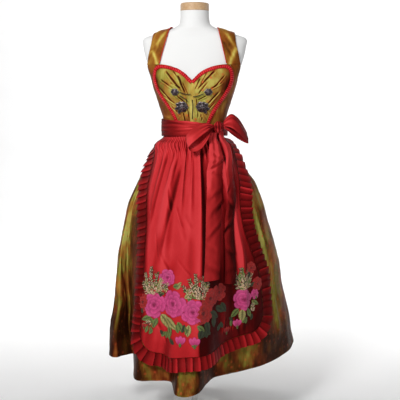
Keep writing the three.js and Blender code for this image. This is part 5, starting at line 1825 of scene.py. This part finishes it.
    def ruffle(self, name: str, node: str, start: float, stop: float, shine: float, seed: int) -> None:
        """A strip of knife pleats sewn to the edge.

        Args:
            name: the piece's name.
            node: the solid that it stands for.
            start: length along the edge where it begins.
            stop: length where it ends.
            shine: painted highlight tone that the pleats' edges gain.
            seed: of its unevenness.
        """
        path, length = self.edge_path()
        draw = np.random.default_rng(seed)
        count = round((stop - start) / self.ruffle_pitch)
        profile = np.array(self.pleat_profile)
        widths = draw.uniform(0.86, 1.14, count)
        starts = np.concatenate([[0], np.cumsum(widths)]) / widths.sum() * (stop - start - 0.8) + start + 0.4
        spans = np.diff(starts)
        heights = draw.uniform(0.8, 1.25, count)
        place_at = (starts[:-1, None] + profile[None, :, 0] * spans[:, None]).ravel()
        rise = (heights[:, None] * profile[None, :, 1]).ravel()
        across = np.linspace(0, 1, 8)

        def along_edge(at: Array) -> Array:
            """Points of the sewn edge at lengths along it."""
            at = np.clip(at, 0, length[-1])
            return np.stack([np.interp(at, length, path[:, k]) for k in range(3)], -1)

        seam = along_edge(place_at)
        ahead = unit(along_edge(place_at + self.turn_span) - along_edge(place_at - self.turn_span))
        radial = unit(seam * np.array([1, 1, 0]))
        away = unit(np.cross(ahead, radial))
        lean = (draw.uniform(-3, 3, count)[:, None] * np.ones(len(profile))).ravel()
        off = self.ruffle_seam + across[None] * self.ruffle_width
        slide = (lean[:, None] * across)[..., None]
        flat = seam[:, None] + away[:, None] * off[..., None] + ahead[:, None] * slide
        angle = np.degrees(np.arctan2(flat[..., 0], -flat[..., 1]))
        radius = np.hypot(flat[..., 0], flat[..., 1])
        slack = self.stand_off(flat[..., 2]) + self.wall + self.ruffle_lift
        lying = self.skirt.outermost(angle, flat[..., 2]) + slack
        rest = mix(radius, lying, np.clip(across * 1.5, 0, 1)[None])
        lifted = rest + rise[:, None] * self.ruffle_step * (0.3 + 0.7 * across[None])
        outer = polar(angle, lifted, flat[..., 2])

        # painted light on faces turned up and higher up the apron, painted highlight on the pleats' edges,
        # painted shade on their undersides
        under = np.tile((np.arange(len(profile)) > 6).astype(float), count)
        crest = ease(rise, 0.93, 1.06)[:, None] * np.ones(len(across))
        slope = ease(rise, 0.0, 0.9)[:, None] * np.ones(len(across))
        lit = ease(-away[:, 2], 0.3, 0.9)[:, None]
        high = ease(seam[:, 2], 760, 1040)[:, None]
        level = mix(0.06 + 0.08 * slope + (0.04 + 0.24 * slope) * high, 0.1 + 0.3 * slope, lit)
        tone = np.clip(level + shine * crest**2 - 0.4 * under[:, None] + 0.04 * across, 0, 1)
        walls = Walls()
        uv = np.stack(np.broadcast_arrays(place_at[:, None], off), -1) * MM
        walls.add(outer, 0.5, tone=tone, uv=uv)
        piece = walls.build(name, material(Finish.RED), 45)
        place(piece, "red_taffeta", node)
        log.info("%s: %d pleats", name, count)

    def build(self) -> None:
        """Builds the apron and its ruffle."""
        self.panel()
        _, length = self.edge_path()
        whole = float(length[-1])
        first, corner = self.ruffle_start, self.ruffle_corner
        self.ruffle("ruffle_strip_right", "ruffle_right", first, corner, 0.2, 41)
        self.ruffle("ruffle_strip_bottom", "ruffle_bottom", corner, whole - corner, 0.25, 42)
        self.ruffle("ruffle_strip_left", "ruffle_left", whole - corner, whole - first, 0.4, 43)


# ---- embroidery
PINK = ((0.46, 0.016, 0.12), (0.94, 0.10, 0.35))
ROSE_RED = ((0.20, 0.004, 0.004), (0.60, 0.020, 0.015))
LEAF = ((0.020, 0.045, 0.008), (0.23, 0.31, 0.07))
DARK_LEAF = ((0.008, 0.014, 0.006), (0.040, 0.060, 0.018))
STRAW = ((0.05, 0.07, 0.012), (0.60, 0.50, 0.17))
SPRIG = ((0.30, 0.16, 0.07), (0.90, 0.62, 0.42))


@dataclass
class Embroidery:
    """A border of roses, buds, leaves and sprigs in satin stitch above the apron's lower seam."""

    apron: Apron
    seed: int = 77
    roses: tuple[tuple[float, float, float, Shades], ...] = (
        (-31, 536, 34, ROSE_RED), (-22.5, 531, 47, PINK), (-8.5, 546, 50, PINK), (-14.5, 634, 31, PINK),
        (10, 520, 42, ROSE_RED), (4, 524, 45, PINK), (15, 566, 36, ROSE_RED), (23, 578, 33, ROSE_RED),
        (53, 650, 25, ROSE_RED), (58, 585, 27, ROSE_RED), (44, 536, 42, PINK), (55.5, 548, 20, PINK),
    )
    buds: tuple[tuple[float, float, float, Shades], ...] = (
        (-2.5, 424, 24, PINK), (5, 422, 25, PINK), (39, 445, 24, PINK), (28.5, 430, 20, ROSE_RED),
        (-28, 452, 15, ROSE_RED), (-17, 580, 13, ROSE_RED), (1, 606, 14, ROSE_RED),
        (8.5, 640, 13, ROSE_RED), (-24, 648, 12, ROSE_RED), (47.5, 634, 12, ROSE_RED),
    )
    leaves: tuple[tuple[float, float, float, float, Shades], ...] = (
        (-24, 486, 40, 200, LEAF), (-24.5, 484, 42, 300, LEAF), (-19.5, 486, 40, 250, LEAF),
        (-17.5, 498, 66, 318, STRAW), (-13.5, 490, 58, 330, STRAW), (-11, 470, 40, 292, LEAF),
        (-4.5, 488, 40, 300, LEAF), (2, 480, 42, 262, STRAW), (6.5, 480, 36, 318, LEAF),
        (11.5, 492, 46, 285, DARK_LEAF), (14.5, 520, 48, 320, DARK_LEAF), (19, 530, 48, 330, DARK_LEAF),
        (24, 540, 44, 300, DARK_LEAF), (9.5, 470, 42, 250, DARK_LEAF), (17, 500, 40, 270, DARK_LEAF),
        (41, 500, 46, 215, LEAF), (43, 498, 48, 268, STRAW), (47, 500, 44, 300, LEAF),
        (52.5, 524, 36, 330, LEAF), (56, 560, 34, 280, LEAF), (52, 580, 30, 30, DARK_LEAF),
        (-29, 596, 30, 110, LEAF), (-18, 590, 38, 150, LEAF), (-20.5, 606, 36, 60, STRAW),
        (-9.5, 604, 34, 20, LEAF), (-7, 598, 34, 55, STRAW), (-19, 560, 30, 80, DARK_LEAF),
        (-1, 570, 38, 35, STRAW), (1.5, 560, 36, 75, LEAF), (9, 572, 40, 95, DARK_LEAF),
        (11.5, 610, 40, 75, DARK_LEAF), (40, 590, 40, 110, DARK_LEAF), (49, 588, 36, 60, LEAF),
        (51.5, 612, 34, 95, DARK_LEAF), (42.5, 606, 40, 80, LEAF),
        (-26.5, 428, 28, 75, LEAF), (-22, 430, 26, 120, LEAF), (-12.5, 418, 28, 80, LEAF),
        (-9, 420, 26, 120, LEAF), (-6, 410, 30, 150, DARK_LEAF), (0, 446, 32, 62, LEAF),
        (1.8, 446, 32, 118, LEAF), (9, 436, 28, 50, DARK_LEAF), (14, 440, 30, 130, DARK_LEAF),
        (20, 440, 30, 60, DARK_LEAF), (24.5, 446, 26, 110, DARK_LEAF), (33, 440, 28, 80, LEAF),
        (35, 456, 26, 130, DARK_LEAF), (43, 446, 30, 40, LEAF), (46.5, 440, 28, 100, LEAF),
        (51, 450, 26, 70, DARK_LEAF), (-30.5, 494, 24, 100, DARK_LEAF), (-24, 424, 24, 60, LEAF),
        (-16, 420, 26, 50, LEAF), (-14.5, 424, 24, 130, DARK_LEAF), (-4, 450, 30, 110, LEAF),
        (-2, 452, 30, 70, DARK_LEAF), (11.5, 432, 26, 80, DARK_LEAF), (3.5, 408, 24, 20, LEAF),
    )
    sprigs: tuple[tuple[float, float, float, float], ...] = (
        (-25.5, 566, 98, 98), (-24.6, 566, 84, 80), (-23.6, 564, 70, 62), (-26.6, 570, 76, 114),
        (-21.5, 572, 60, 76), (-19.5, 578, 46, 50), (-27.4, 566, 54, 128), (7.2, 566, 88, 96),
        (8.2, 566, 80, 78), (6.2, 568, 74, 112), (3.6, 568, 54, 130), (9.6, 566, 60, 62),
        (1, 578, 42, 70), (45.2, 570, 84, 96), (46, 572, 74, 78), (44.2, 570, 78, 112),
        (42.2, 576, 54, 122), (48, 576, 60, 62), (-13, 590, 40, 200), (53, 480, 40, 84),
        (-22, 470, 38, 200), (11.5, 596, 46, 70),
    )

    def lay(self, angle: float, z: float, x: Array, y: Array, lift: Array) -> Array:
        """Points on the apron at a distance from a motif's middle.

        Args:
            angle: of the motif's middle.
            z: its height.
            x: millimetres to the wearer's left of it.
            y: millimetres above it.
            lift: millimetres off the cloth.

        Returns:
            Points.
        """
        height = z + y
        radius = self.apron.skirt.outermost(np.array(angle), np.array(z)) + 10
        turn = angle + np.degrees(x / radius)
        points = self.apron.cloth_at(turn, height)
        out = unit(points * np.array([1, 1, 0]))
        return points + out * (lift + 1.0)[..., None]

    def patch(
        self, walls: Walls, spot: Pair, at: Pair, turn: float, length: float, width: float,
        pointed: float, colours: Shades, lift: float, cells: tuple[int, int] = (9, 9)
    ) -> None:
        """One petal or leaf in satin stitch.

        Args:
            walls: collects the patches.
            spot: angle and height of the motif's middle.
            at: where the patch's foot lies from there.
            turn: direction in degrees, anticlockwise from the wearer's left.
            length: of the patch.
            width: of the patch.
            pointed: 0 for a round tip, 1 for a pointed one.
            colours: at its foot and at its tip.
            lift: off the cloth.
            cells: columns and rows of its mesh.
        """
        u, v = grid(np.linspace(-1, 1, cells[0]), np.linspace(0.02, 0.98, cells[1]))
        round_half = np.sqrt(np.clip(v * (1 - v), 0, None)) * 2 * (0.75 + 0.35 * v)
        leaf_half = np.sin(np.pi * v) ** 0.7 * (1.15 - 0.4 * v)
        half = width / 2 * mix(round_half, leaf_half, pointed)
        x0, y0 = v * length, u * half
        c, s = math.cos(math.radians(turn)), math.sin(math.radians(turn))
        dome = (1 - u**2) * 1.1 + 0.4 * np.sin(np.pi * v)
        points = self.lay(*spot, at[0] + x0 * c - y0 * s, at[1] + x0 * s + y0 * c, lift + dome)
        share = np.clip(v + 0.25 * np.abs(u) - 0.15, 0, 1) * (1 - 0.7 * ease(np.abs(u) + v**8, 0.86, 1.0))
        if pointed > 0.5:
            veins = 0.75 + 0.25 * np.sin(v * 30 - np.abs(u) * 5)
            share = (0.1 + 0.9 * ease(np.abs(u), 0.04, 0.4) * ease(np.abs(u), 1.0, 0.75)) * veins
        share = np.clip(share, 0, 1)[..., None]
        colour = mix(np.array(colours[0]), np.array(colours[1]), share)
        uv = np.stack([x0, y0], -1) * MM
        walls.add(points, 0.8, uv=uv, colour=colour)

    def rose(
        self, walls: Walls, draw: np.random.Generator, spot: Pair, size: float,
        colours: Shades
    ) -> None:
        """An open rose of three rings of petals round a rolled heart."""
        dark, light = np.array(colours[0]), np.array(colours[1])
        rings = ((7, 0.34, 0.66, 0.78, 0.0), (6, 0.14, 0.55, 0.66, 0.8), (4, 0.02, 0.36, 0.46, 1.5))
        for count, foot, long, wide, lift in rings:
            spin = draw.uniform(0, 360)
            for i in range(count):
                turn = spin + 360 * i / count + draw.uniform(-9, 9)
                way = math.radians(turn)
                start = (foot * size * math.cos(way), foot * size * math.sin(way))
                shade = draw.uniform(-0.08, 0.1)
                pair = (tuple(dark * (0.8 + shade)), tuple(np.clip(light * (1 + shade), 0, 1)))
                reach = long * size * draw.uniform(0.9, 1.1)
                over = lift + 0.12 * (i % 2)
                self.patch(walls, spot, start, turn, reach, wide * size, 0.0, pair, over)
        heart = (tuple(dark * 0.55), tuple(dark))
        for i in range(3):
            self.patch(walls, spot, (0, 0), 120 * i + 40, 0.18 * size, 0.2 * size, 0.0, heart, 2.2, (5, 5))

    def sprig(
        self, walls: Walls, draw: np.random.Generator, spot: Pair, length: float, turn: float
    ) -> None:
        """A stem with small oval leaflets and buds to both sides, on a darker ground of its own."""
        c, s = math.cos(math.radians(turn)), math.sin(math.radians(turn))
        self.patch(walls, spot, (0, 0), turn, length, 7, 1.0, DARK_LEAF, 0.0, (5, 12))
        count = int(length / 5)
        for i in range(count):
            along = (i + 0.6) * length / count
            size = 1.1 - 0.45 * i / count
            for side in (-1, 1):
                pair = draw.choice(4)
                pair = (SPRIG, STRAW, SPRIG, SPRIG)[pair]
                if draw.random() < 0.22:
                    pair = (LEAF, ROSE_RED)[int(draw.random() < 0.5)]
                lean = turn + side * draw.uniform(30, 75)
                long, wide = draw.uniform(9, 15) * size, draw.uniform(4, 5.6) * size
                foot = (along * c, along * s)
                self.patch(walls, spot, foot, lean, long * 1.12, wide + 3.4, 0.8, DARK_LEAF, 0.05, (4, 4))
                self.patch(walls, spot, foot, lean, long, wide, 0.6, pair, 0.55, (4, 5))

    def build(self) -> None:
        """Builds the border as one piece."""
        draw = np.random.default_rng(self.seed)
        walls = Walls()
        for angle, z, length, turn in self.sprigs:
            self.sprig(walls, draw, (angle, z), length, turn)
        for angle, z, length, turn, colours in self.leaves:
            self.patch(walls, (angle, z), (0, 0), turn, length, length * 0.55, 1.0, colours, 0.3, (9, 11))
        for angle, z, size, colours in self.roses:
            self.rose(walls, draw, (angle, z), size, colours)
        for angle, z, size, colours in self.buds:
            spot, foot = (angle, z), (0, -size * 0.5)
            for turn, lift in ((55, 0.4), (90, 0.6), (125, 0.4)):
                self.patch(walls, spot, foot, turn, size * 1.25, size * 0.75, 0.2, colours, lift)
            self.patch(walls, spot, (0, -size * 0.9), 90, size * 0.7, size * 0.45, 1.0, LEAF, 1.2, (5, 6))
        piece = walls.build("apron_embroidery", material(Finish.THREAD), 60)
        place(piece, "embroidery_thread")


# ---- sash and bow
@dataclass
class Bow:
    """Wide sash tied on the wearer's left, with two loops and two tails."""

    body: Body
    apron: Apron
    waist: float = 1176
    lift: float = 18.8
    crease: float = 2
    wall: float = 2.2
    cloth: float = 1.1
    patches: int = 32
    sash_cells: tuple[int, int] = (300, 40)
    loop_cells: tuple[int, int] = (40, 140)
    tail_cells: tuple[int, int] = (36, 190)
    sash_top: Curve = curve(
        (-180, 1206), (-90, 1208), (-40, 1206), (0, 1202), (30, 1194), (50, 1189), (75, 1198),
        (110, 1205), (180, 1206),
    )
    sash_bottom: Curve = curve(
        (-180, 1138), (-90, 1140), (-40, 1145), (0, 1150), (30, 1151), (50, 1150), (75, 1145),
        (110, 1139), (180, 1138),
    )
    sash_creases: tuple[Curve, ...] = (
        Curve((-180, 0.28), (-95, 0.2), (-20, 0.28), (40, 0.42), (60, 0.4), (110, 0.28), (180, 0.28)),
        Curve((-180, 0.52), (-95, 0.44), (-20, 0.52), (40, 0.56), (60, 0.55), (110, 0.52), (180, 0.52)),
        Curve((-180, 0.78), (-95, 0.7), (-20, 0.78), (40, 0.68), (60, 0.66), (110, 0.75), (180, 0.78)),
        Curve((-180, 0.66), (-60, 0.88), (-10, 0.66), (40, 0.62), (60, 0.5), (110, 0.62), (180, 0.66)),
    )
    knot_angle: float = 48
    knot_z: float = 1180
    knot_size: Point = (14.5, 23, 13)
    loop_right: Rows = (
        (120, -88, 1194, 10, 3), (136, -88, 1207, 22, 8), (155, -87, 1209, 29, 13), (179, -82, 1190, 31, 14),
        (199, -77, 1163, 29, 11), (211, -73, 1143, 26, 5), (212, -73, 1135, 24, 0), (200, -72, 1139, 25, -3),
        (178, -74, 1152, 27, -4), (155, -77, 1166, 25, -5), (134, -80, 1177, 17, -3), (120, -84, 1182, 9, 0),
    )
    loop_left: Rows = (
        (78, -124, 1188, 10, 2), (60, -136, 1188, 19, 5), (36, -146, 1178, 25, 7), (11, -152, 1160, 27, 8),
        (-8, -154, 1139, 27, 5), (-15, -152, 1122, 26, 0), (-6, -150, 1109, 25, -4), (12, -149, 1107, 25, -5),
        (34, -143, 1119, 24, -4), (54, -135, 1142, 19, -3), (70, -124, 1164, 12, -1), (78, -118, 1174, 8, 0),
    )
    across_right: Point = (0.1, -0.72, -0.66)
    across_left: Point = (0.32, -0.72, -0.6)
    loop_light: Point = (-0.25, -0.85, 0.45)
    tail_light: Point = (-0.3, -0.9, 0.3)
    tail_creases: tuple[tuple[tuple[float, float, float, float], ...], ...] = (
        (
            (0.16, 0.03, 2.0, 0.016), (0.24, -0.03, 2.6, 0.014), (0.29, 0.02, 2.0, 0.013),
            (0.45, -0.035, 4.4, 0.02), (0.565, -0.055, 5.4, 0.026), (0.70, -0.05, 5.0, 0.024),
            (0.80, 0.03, 2.0, 0.02), (0.93, 0.03, 3.0, 0.022),
        ),
        (
            (0.2, 0.04, 2.2, 0.02), (0.36, -0.05, 3.0, 0.022), (0.49, 0.04, 2.6, 0.02),
            (0.63, -0.05, 3.6, 0.022), (0.8, 0.035, 2.8, 0.022), (0.92, -0.03, 2.4, 0.02),
        ),
    )
    tails: tuple[tuple[str, str, float, float, tuple[tuple[float, float, float], ...]], ...] = (
        (
            "tail_left", "bow_tail_left", 5, 6,
            ((1160, 43, 14), (1103, 36.6, 27), (1030, 31, 31), (935, 26, 31), (858, 22.6, 30.5),
             (772, 19.6, 30), (690, 17.2, 29), (634, 15.6, 29)),
        ),
        (
            "tail_right", "bow_tail_right", 4, 5,
            ((1164, 57, 12), (1120, 58.5, 18), (1068, 53.3, 20), (970, 45, 20), (858, 38, 20),
             (765, 35.5, 22), (680, 34, 24), (604, 32.4, 25)),
        ),
    )

    def sash_reach(self, angle: Array) -> Array:
        """Distance of the sash's outer face from the axis."""
        side = np.sin(np.radians(angle)) / (self.body.width(self.waist) + self.lift)
        front = np.cos(np.radians(angle)) / (self.body.depth(self.waist) + self.lift)
        return 1 / np.hypot(side, front)

    def sash(self) -> None:
        """The band round the waist with its soft lengthwise creases."""
        columns, rows = self.sash_cells
        angle, up = grid(-180 + np.arange(columns) * 360 / columns, rows)
        z = mix(self.sash_bottom(angle), self.sash_top(angle), up)
        wander = Unevenness(51)
        turn = (angle + 180) / 360 * self.patches
        relief = 0.5 * wander(np.mod(turn, 64), up * 2.0) * np.sin(np.pi * up)
        for k, line in enumerate(self.sash_creases):
            beside = (up - line(angle)) / 0.065
            depth = 1.3 * (0.4 + 0.6 * wander(np.mod(turn / 2 + 9 * k, 64), 0.5 * k))
            relief = relief + depth * (0.7 * np.exp(-((beside - 1.9) ** 2)) - np.exp(-(beside**2)))
        relief = relief + 1.6 * np.sin(np.pi * up) ** 0.5
        outer = polar(angle, self.sash_reach(angle) - 0.4 + np.clip(relief, -0.8, 4), z)
        near = np.exp(-(((angle + 78) / 34) ** 2))
        front = np.exp(-(((angle + 2) / 30) ** 2))

        def tone(normals: Array) -> Array:
            """Tone of the cloth: painted light on its upper faces and at the front, painted shade round the
            wearer's right side, lighter on its raised parts.
            """
            high = ease(normals[..., 2], -0.25, 0.5)
            return np.clip(0.24 + 0.36 * high - 0.22 * near + 0.48 * front + 0.06 * relief, 0, 1)

        walls = Walls()
        uv = np.stack([angle * 2.3, z], -1) * MM
        walls.add(outer, self.cloth, ring=True, tone=tone, uv=uv)
        piece = walls.build("waist_sash", material(Finish.SASH))
        place(piece, "red_taffeta", "sash")

    def knot(self) -> None:
        """The knot: a short wrapped band with folds that run into it."""
        bpy.ops.object.select_all(action="DESELECT")
        bpy.ops.mesh.primitive_uv_sphere_add(segments=48, ring_count=32, radius=1)
        piece = bpy.context.active_object
        piece.name = "tied_knot"
        size = np.array(self.knot_size)
        wander, wraps = Unevenness(61), []
        for vertex in piece.data.vertices:
            x, y, z = vertex.co
            turn = math.atan2(y, x)
            wrap = 0.13 * math.sin(turn * 7 + 0.9 * z) + 0.03 * math.sin(z * 5 + 2 * x)
            wrap += 0.06 * float(wander(x * 2 + 9, z * 2 + 9))
            wraps.append(wrap)
            shape = 1 + wrap * (1 - abs(z) ** 3)
            square = 1 + 0.22 * math.sin(math.pi * abs(z)) ** 2
            across = (x * size[0] * shape * square, y * size[2] * shape * square)
            vertex.co = Vector((*across, z * size[1] * (1 + 0.4 * wrap)))
        radius = float(self.sash_reach(np.array(self.knot_angle))) + self.knot_size[2] + 3
        turn = math.radians(self.knot_angle)
        piece.location = (radius * math.sin(turn) * MM, -radius * math.cos(turn) * MM, self.knot_z * MM)
        piece.rotation_euler = (0, 0, turn)
        piece.scale = (MM, MM, MM)
        # painted light on the crests of the wraps and painted shade in their creases
        tone = piece.data.attributes.new("tone", "FLOAT", "POINT")
        tone.data.foreach_set("value", np.clip(0.5 + 2.6 * np.array(wraps), 0, 1).astype(np.float32))
        piece.data.uv_layers[0].name = "cut"
        settle(piece, material(Finish.SASH), 60)
        place(piece, "red_taffeta", "bow_knot")

    def loop(
        self, name: str, node: str, rows: Sequence[tuple[float, ...]], direction: Point,
        seed: int
    ) -> None:
        """A ribbon that runs out along its middle line and turns back.

        Args:
            name: the piece's name.
            node: the solid that it stands for.
            rows: points of the middle line, the ribbon's half width and how far its edge sags.
            direction: across the ribbon.
            seed: of its unevenness.
        """
        knots = np.array(rows, float)
        width, steps = self.loop_cells
        u, v = grid(np.linspace(-1, 1, width), steps)
        line = spline(knots, np.linspace(0, len(knots) - 1, steps))
        ahead = unit(np.gradient(line[:, :3], axis=0))
        across = unit(np.array(direction))
        out = unit(np.cross(ahead, across))
        wander = Unevenness(seed)
        pinch = np.maximum(ease(v, 0.3, 0.0), ease(v, 0.7, 1.0))
        gathers = np.sin(u * 9 + 2.0 * wander(u * 1.2, v * 2 + 3)) * pinch * 2.0
        soft = 2.4 * wander(u * 1.2 + v * 2, v * 5)
        relief = gathers + soft * np.sin(np.pi * v) ** 0.5
        points = line[None, :, :3] + across * (u * line[None, :, 3])[..., None]
        points = points + out[None] * relief[..., None]
        points[..., 2] -= line[None, :, 4] * ease(u * np.sign(line[None, :, 4] + 1e-6), -0.2, 1.0)

        def tone(normals: Array) -> Array:
            """Tone of the cloth: painted light where it faces the light and on its raised parts, a little
            darker at its edges.
            """
            facing = unit(np.array(self.loop_light))
            edge = ease(np.abs(u), 1.0, 0.9)
            light = ease(np.abs(normals @ facing), 0.1, 0.97)
            return np.clip(0.13 + 0.68 * light + 0.11 * relief + 0.06 * edge, 0, 1)

        walls = Walls()
        uv = np.stack([u * 30, v * 280], -1) * MM
        core = tuple(mix(line[steps // 2, :3], line[0, :3], 0.5))
        walls.add(points, self.cloth, tone=tone, uv=uv, core=core)
        piece = walls.build(name, material(Finish.SASH))
        place(piece, "red_taffeta", node)

    def rest(self, angle: Array, z: Array, half: Array) -> Array:
        """How far out something must lie to rest on the sash or the apron."""
        on_sash = np.where(z > 1128, self.sash_reach(angle) + self.crease, 0)
        spread = np.degrees(half / self.apron.skirt.outermost(angle, z))
        around = [self.apron.reach(angle + share * spread, z) for share in (-1, -0.5, 0, 0.5, 1)]
        return np.max([on_sash, *around], axis=0)

    def tail(
        self, name: str, node: str, clear: float, crown: float, rows: Sequence[tuple[float, float, float]],
        creases: Sequence[tuple[float, float, float, float]], base: Pair, seed: int
    ) -> None:
        """One hanging end of the sash with its cross creases.

        Args:
            name: the piece's name.
            node: the solid that it stands for.
            clear: distance from what it lies on.
            crown: how far its middle stands out.
            rows: height, angle and half width.
            creases: share down, slant, depth and half width of each cross crease.
            base: painted light gained at its top, and tone where it turns from the light.
            seed: of its unevenness.
        """
        columns = list(zip(*rows))
        angles, halves = (Curve(*zip(columns[0], column)) for column in columns[1:])
        width_cells, steps = self.tail_cells
        u, v = grid(np.linspace(-1, 1, width_cells), steps)
        slant = 9 * u * (0.5 if seed % 2 else -0.4)
        z = mix(columns[0][0], columns[0][-1] + slant * 0.8, v)
        half, angle = halves(z), angles(z)
        gathers = 2 * self.apron.gather_depth(z)
        down = z[width_cells // 2]
        level = self.rest(angles(down)[None], down[None], halves(down)[None])
        even = np.ones(13) / 13
        smoothed = np.apply_along_axis(lambda a: np.convolve(np.pad(a, 6, "edge"), even, "valid"), 1, level)
        reach = np.maximum(level, smoothed) + clear + gathers + self.wall
        wander, small = Unevenness(seed), Unevenness(seed + 1)
        relief = crown * (1 - u**2) * 0.8
        shade = 0.0
        for place_v, slope, depth, width in creases:
            beside = (v - place_v - slope * u + 0.006 * wander(u * 2, place_v * 40)) / width
            reach_u = 0.36 + 0.4 * wander(u * 1.1, place_v * 30 + 7)
            relief = relief + depth * reach_u * (0.8 * np.exp(-((beside + 1.6) ** 2)) - np.exp(-(beside**2)))
            shade = shade + 0.05 * depth * reach_u * np.exp(-(beside**2))
        lengthwise = np.sin((u * 1.9 + 0.5 * wander(v * 3, 3.0)) * np.pi) * ease(v, 0.4, 0.0) * 1.4
        relief = relief + lengthwise + 0.8 * small(u * 1.6, v * 11)
        radius = reach + np.maximum(relief, -clear * 0.6)
        outer = polar(angle + np.degrees(u * half / reach), radius, z)

        def tone(normals: Array) -> Array:
            """Tone of the cloth: painted light where it faces the light, fading down its length and added at
            its top, and painted shade in its cross creases.
            """
            facing = unit(np.array(self.tail_light))
            light = ease(normals @ facing, 0.5, 0.99) * mix(1.0, 0.55, v)
            level = base[0] * ease(v, 0.5, 0.12) + base[1] + 0.78 * light
            return np.clip(level + 0.02 * relief - shade, 0, 1)

        walls = Walls()
        uv = np.stack([u * 30, z], -1) * MM
        walls.add(outer, self.cloth, tone=tone, uv=uv)
        piece = walls.build(name, material(Finish.SASH))
        place(piece, "red_taffeta", node)

    def build(self) -> None:
        """Builds the sash, knot, loops and tails."""
        self.sash()
        self.knot()
        self.loop("loop_upright", "bow_loop_right", self.loop_right, self.across_right, 81)
        self.loop("loop_drooping", "bow_loop_left", self.loop_left, self.across_left, 83)
        extra = zip(self.tails, self.tail_creases, ((0.56, 0.17), (0.76, 0.0)), (91, 94))
        for (name, node, clear, crown, rows), creases, base, seed in extra:
            self.tail(name, node, clear, crown, rows, creases, base, seed)


# ---- room
@dataclass
class Studio:
    """Pale floor that curves up behind, soft lights and the camera. Distances in metres."""

    distance: float = 3.328
    height: float = 1.352
    azimuth: float = 5
    pitch: float = 8
    focal: float = 75.6
    shift: float = 0.01375
    sweep_half: float = 9.0
    curve_start: float = 3.2
    curve_radius: float = 2.0
    curve_steps: int = 12

    def floor(self) -> None:
        """A sweep: floor, a wide curve and a wall."""
        half, start, radius = self.sweep_half, self.curve_start, self.curve_radius
        profile = [(-half, 0.0), (start, 0.0)]
        for i in range(1, self.curve_steps + 1):
            turn = math.radians(90 * i / self.curve_steps)
            profile.append((start + radius * math.sin(turn), radius * (1 - math.cos(turn))))
        profile.append((start + radius, half))
        points = [(x, y, z) for x in (-half, half) for y, z in profile]
        count = len(profile)
        faces = [(i, count + i, count + i + 1, i + 1) for i in range(count - 1)]
        data = bpy.data.meshes.new("studio_sweep")
        data.from_pydata(points, [], faces)
        graph = Graph("pale sweep")
        speck = graph.noise(graph.place(), 3.0, 2.0)
        pale = graph.tint(speck, (0.86, 0.86, 0.86), (0.89, 0.89, 0.89))
        data.materials.append(graph.finish({"Base Color": pale, "Roughness": 0.9}))
        sweep = link("studio_sweep", data)
        smooth(sweep, 60)

    def lamp(self, name: str, at: Point, size: float, power: float, target: Point = (0, 0, 0.95)) -> None:
        """A soft area light aimed at the dress."""
        data = bpy.data.lights.new(name, "AREA")
        data.shape = "DISK"
        data.size = size
        data.energy = power
        lamp = link(name, data)
        lamp.location = at
        lamp.rotation_euler = (Vector(target) - Vector(at)).to_track_quat("-Z", "Y").to_euler()

    def build(self) -> None:
        """Sets the whole room."""
        self.floor()
        self.lamp("key", (-0.9, -2.5, 2.55), 0.8, 64, (0, 0, 1.3))
        self.lamp("fill", (2.4, -2.8, 2.2), 2.0, 12)
        self.lamp("rim_left", (-2.9, 1.4, 2.0), 1.6, 8)
        self.lamp("rim_right", (2.9, 1.4, 2.0), 1.6, 8)
        self.lamp("sweep_left", (-1.6, 1.2, 2.9), 2.0, 95, (-1.2, 4.8, 1.2))
        self.lamp("sweep_right", (1.6, 1.2, 2.9), 2.0, 95, (1.2, 4.8, 1.2))
        world = bpy.data.worlds.new("studio")
        world.use_nodes = True
        world.node_tree.nodes["Background"].inputs[0].default_value = (1, 1, 1, 1)
        world.node_tree.nodes["Background"].inputs[1].default_value = 0.22
        bpy.context.scene.world = world
        bpy.context.scene.view_settings.view_transform = "Standard"
        turn = math.radians(self.azimuth)
        data = bpy.data.cameras.new("camera")
        data.lens = self.focal
        data.sensor_width = 36
        data.shift_x = self.shift
        data.clip_end = 60
        camera = link("camera", data)
        camera.location = (self.distance * math.sin(turn), -self.distance * math.cos(turn), self.height)
        camera.rotation_euler = (math.radians(90 - self.pitch), 0, turn)
        bpy.context.scene.camera = camera


def main() -> None:
    """Builds the room and the object, piece by piece."""
    logging.basicConfig(level=logging.INFO, format="%(name)s: %(message)s")
    Studio().build()
    body = Body()
    Stand(body).build()
    bodice = Bodice(body)
    bodice.build()
    Fastenings(bodice).build()
    skirt = Skirt()
    skirt.build()
    apron = Apron(skirt)
    apron.build()
    Embroidery(apron).build()
    Bow(body, apron).build()


if __name__ == "__main__":
    main()
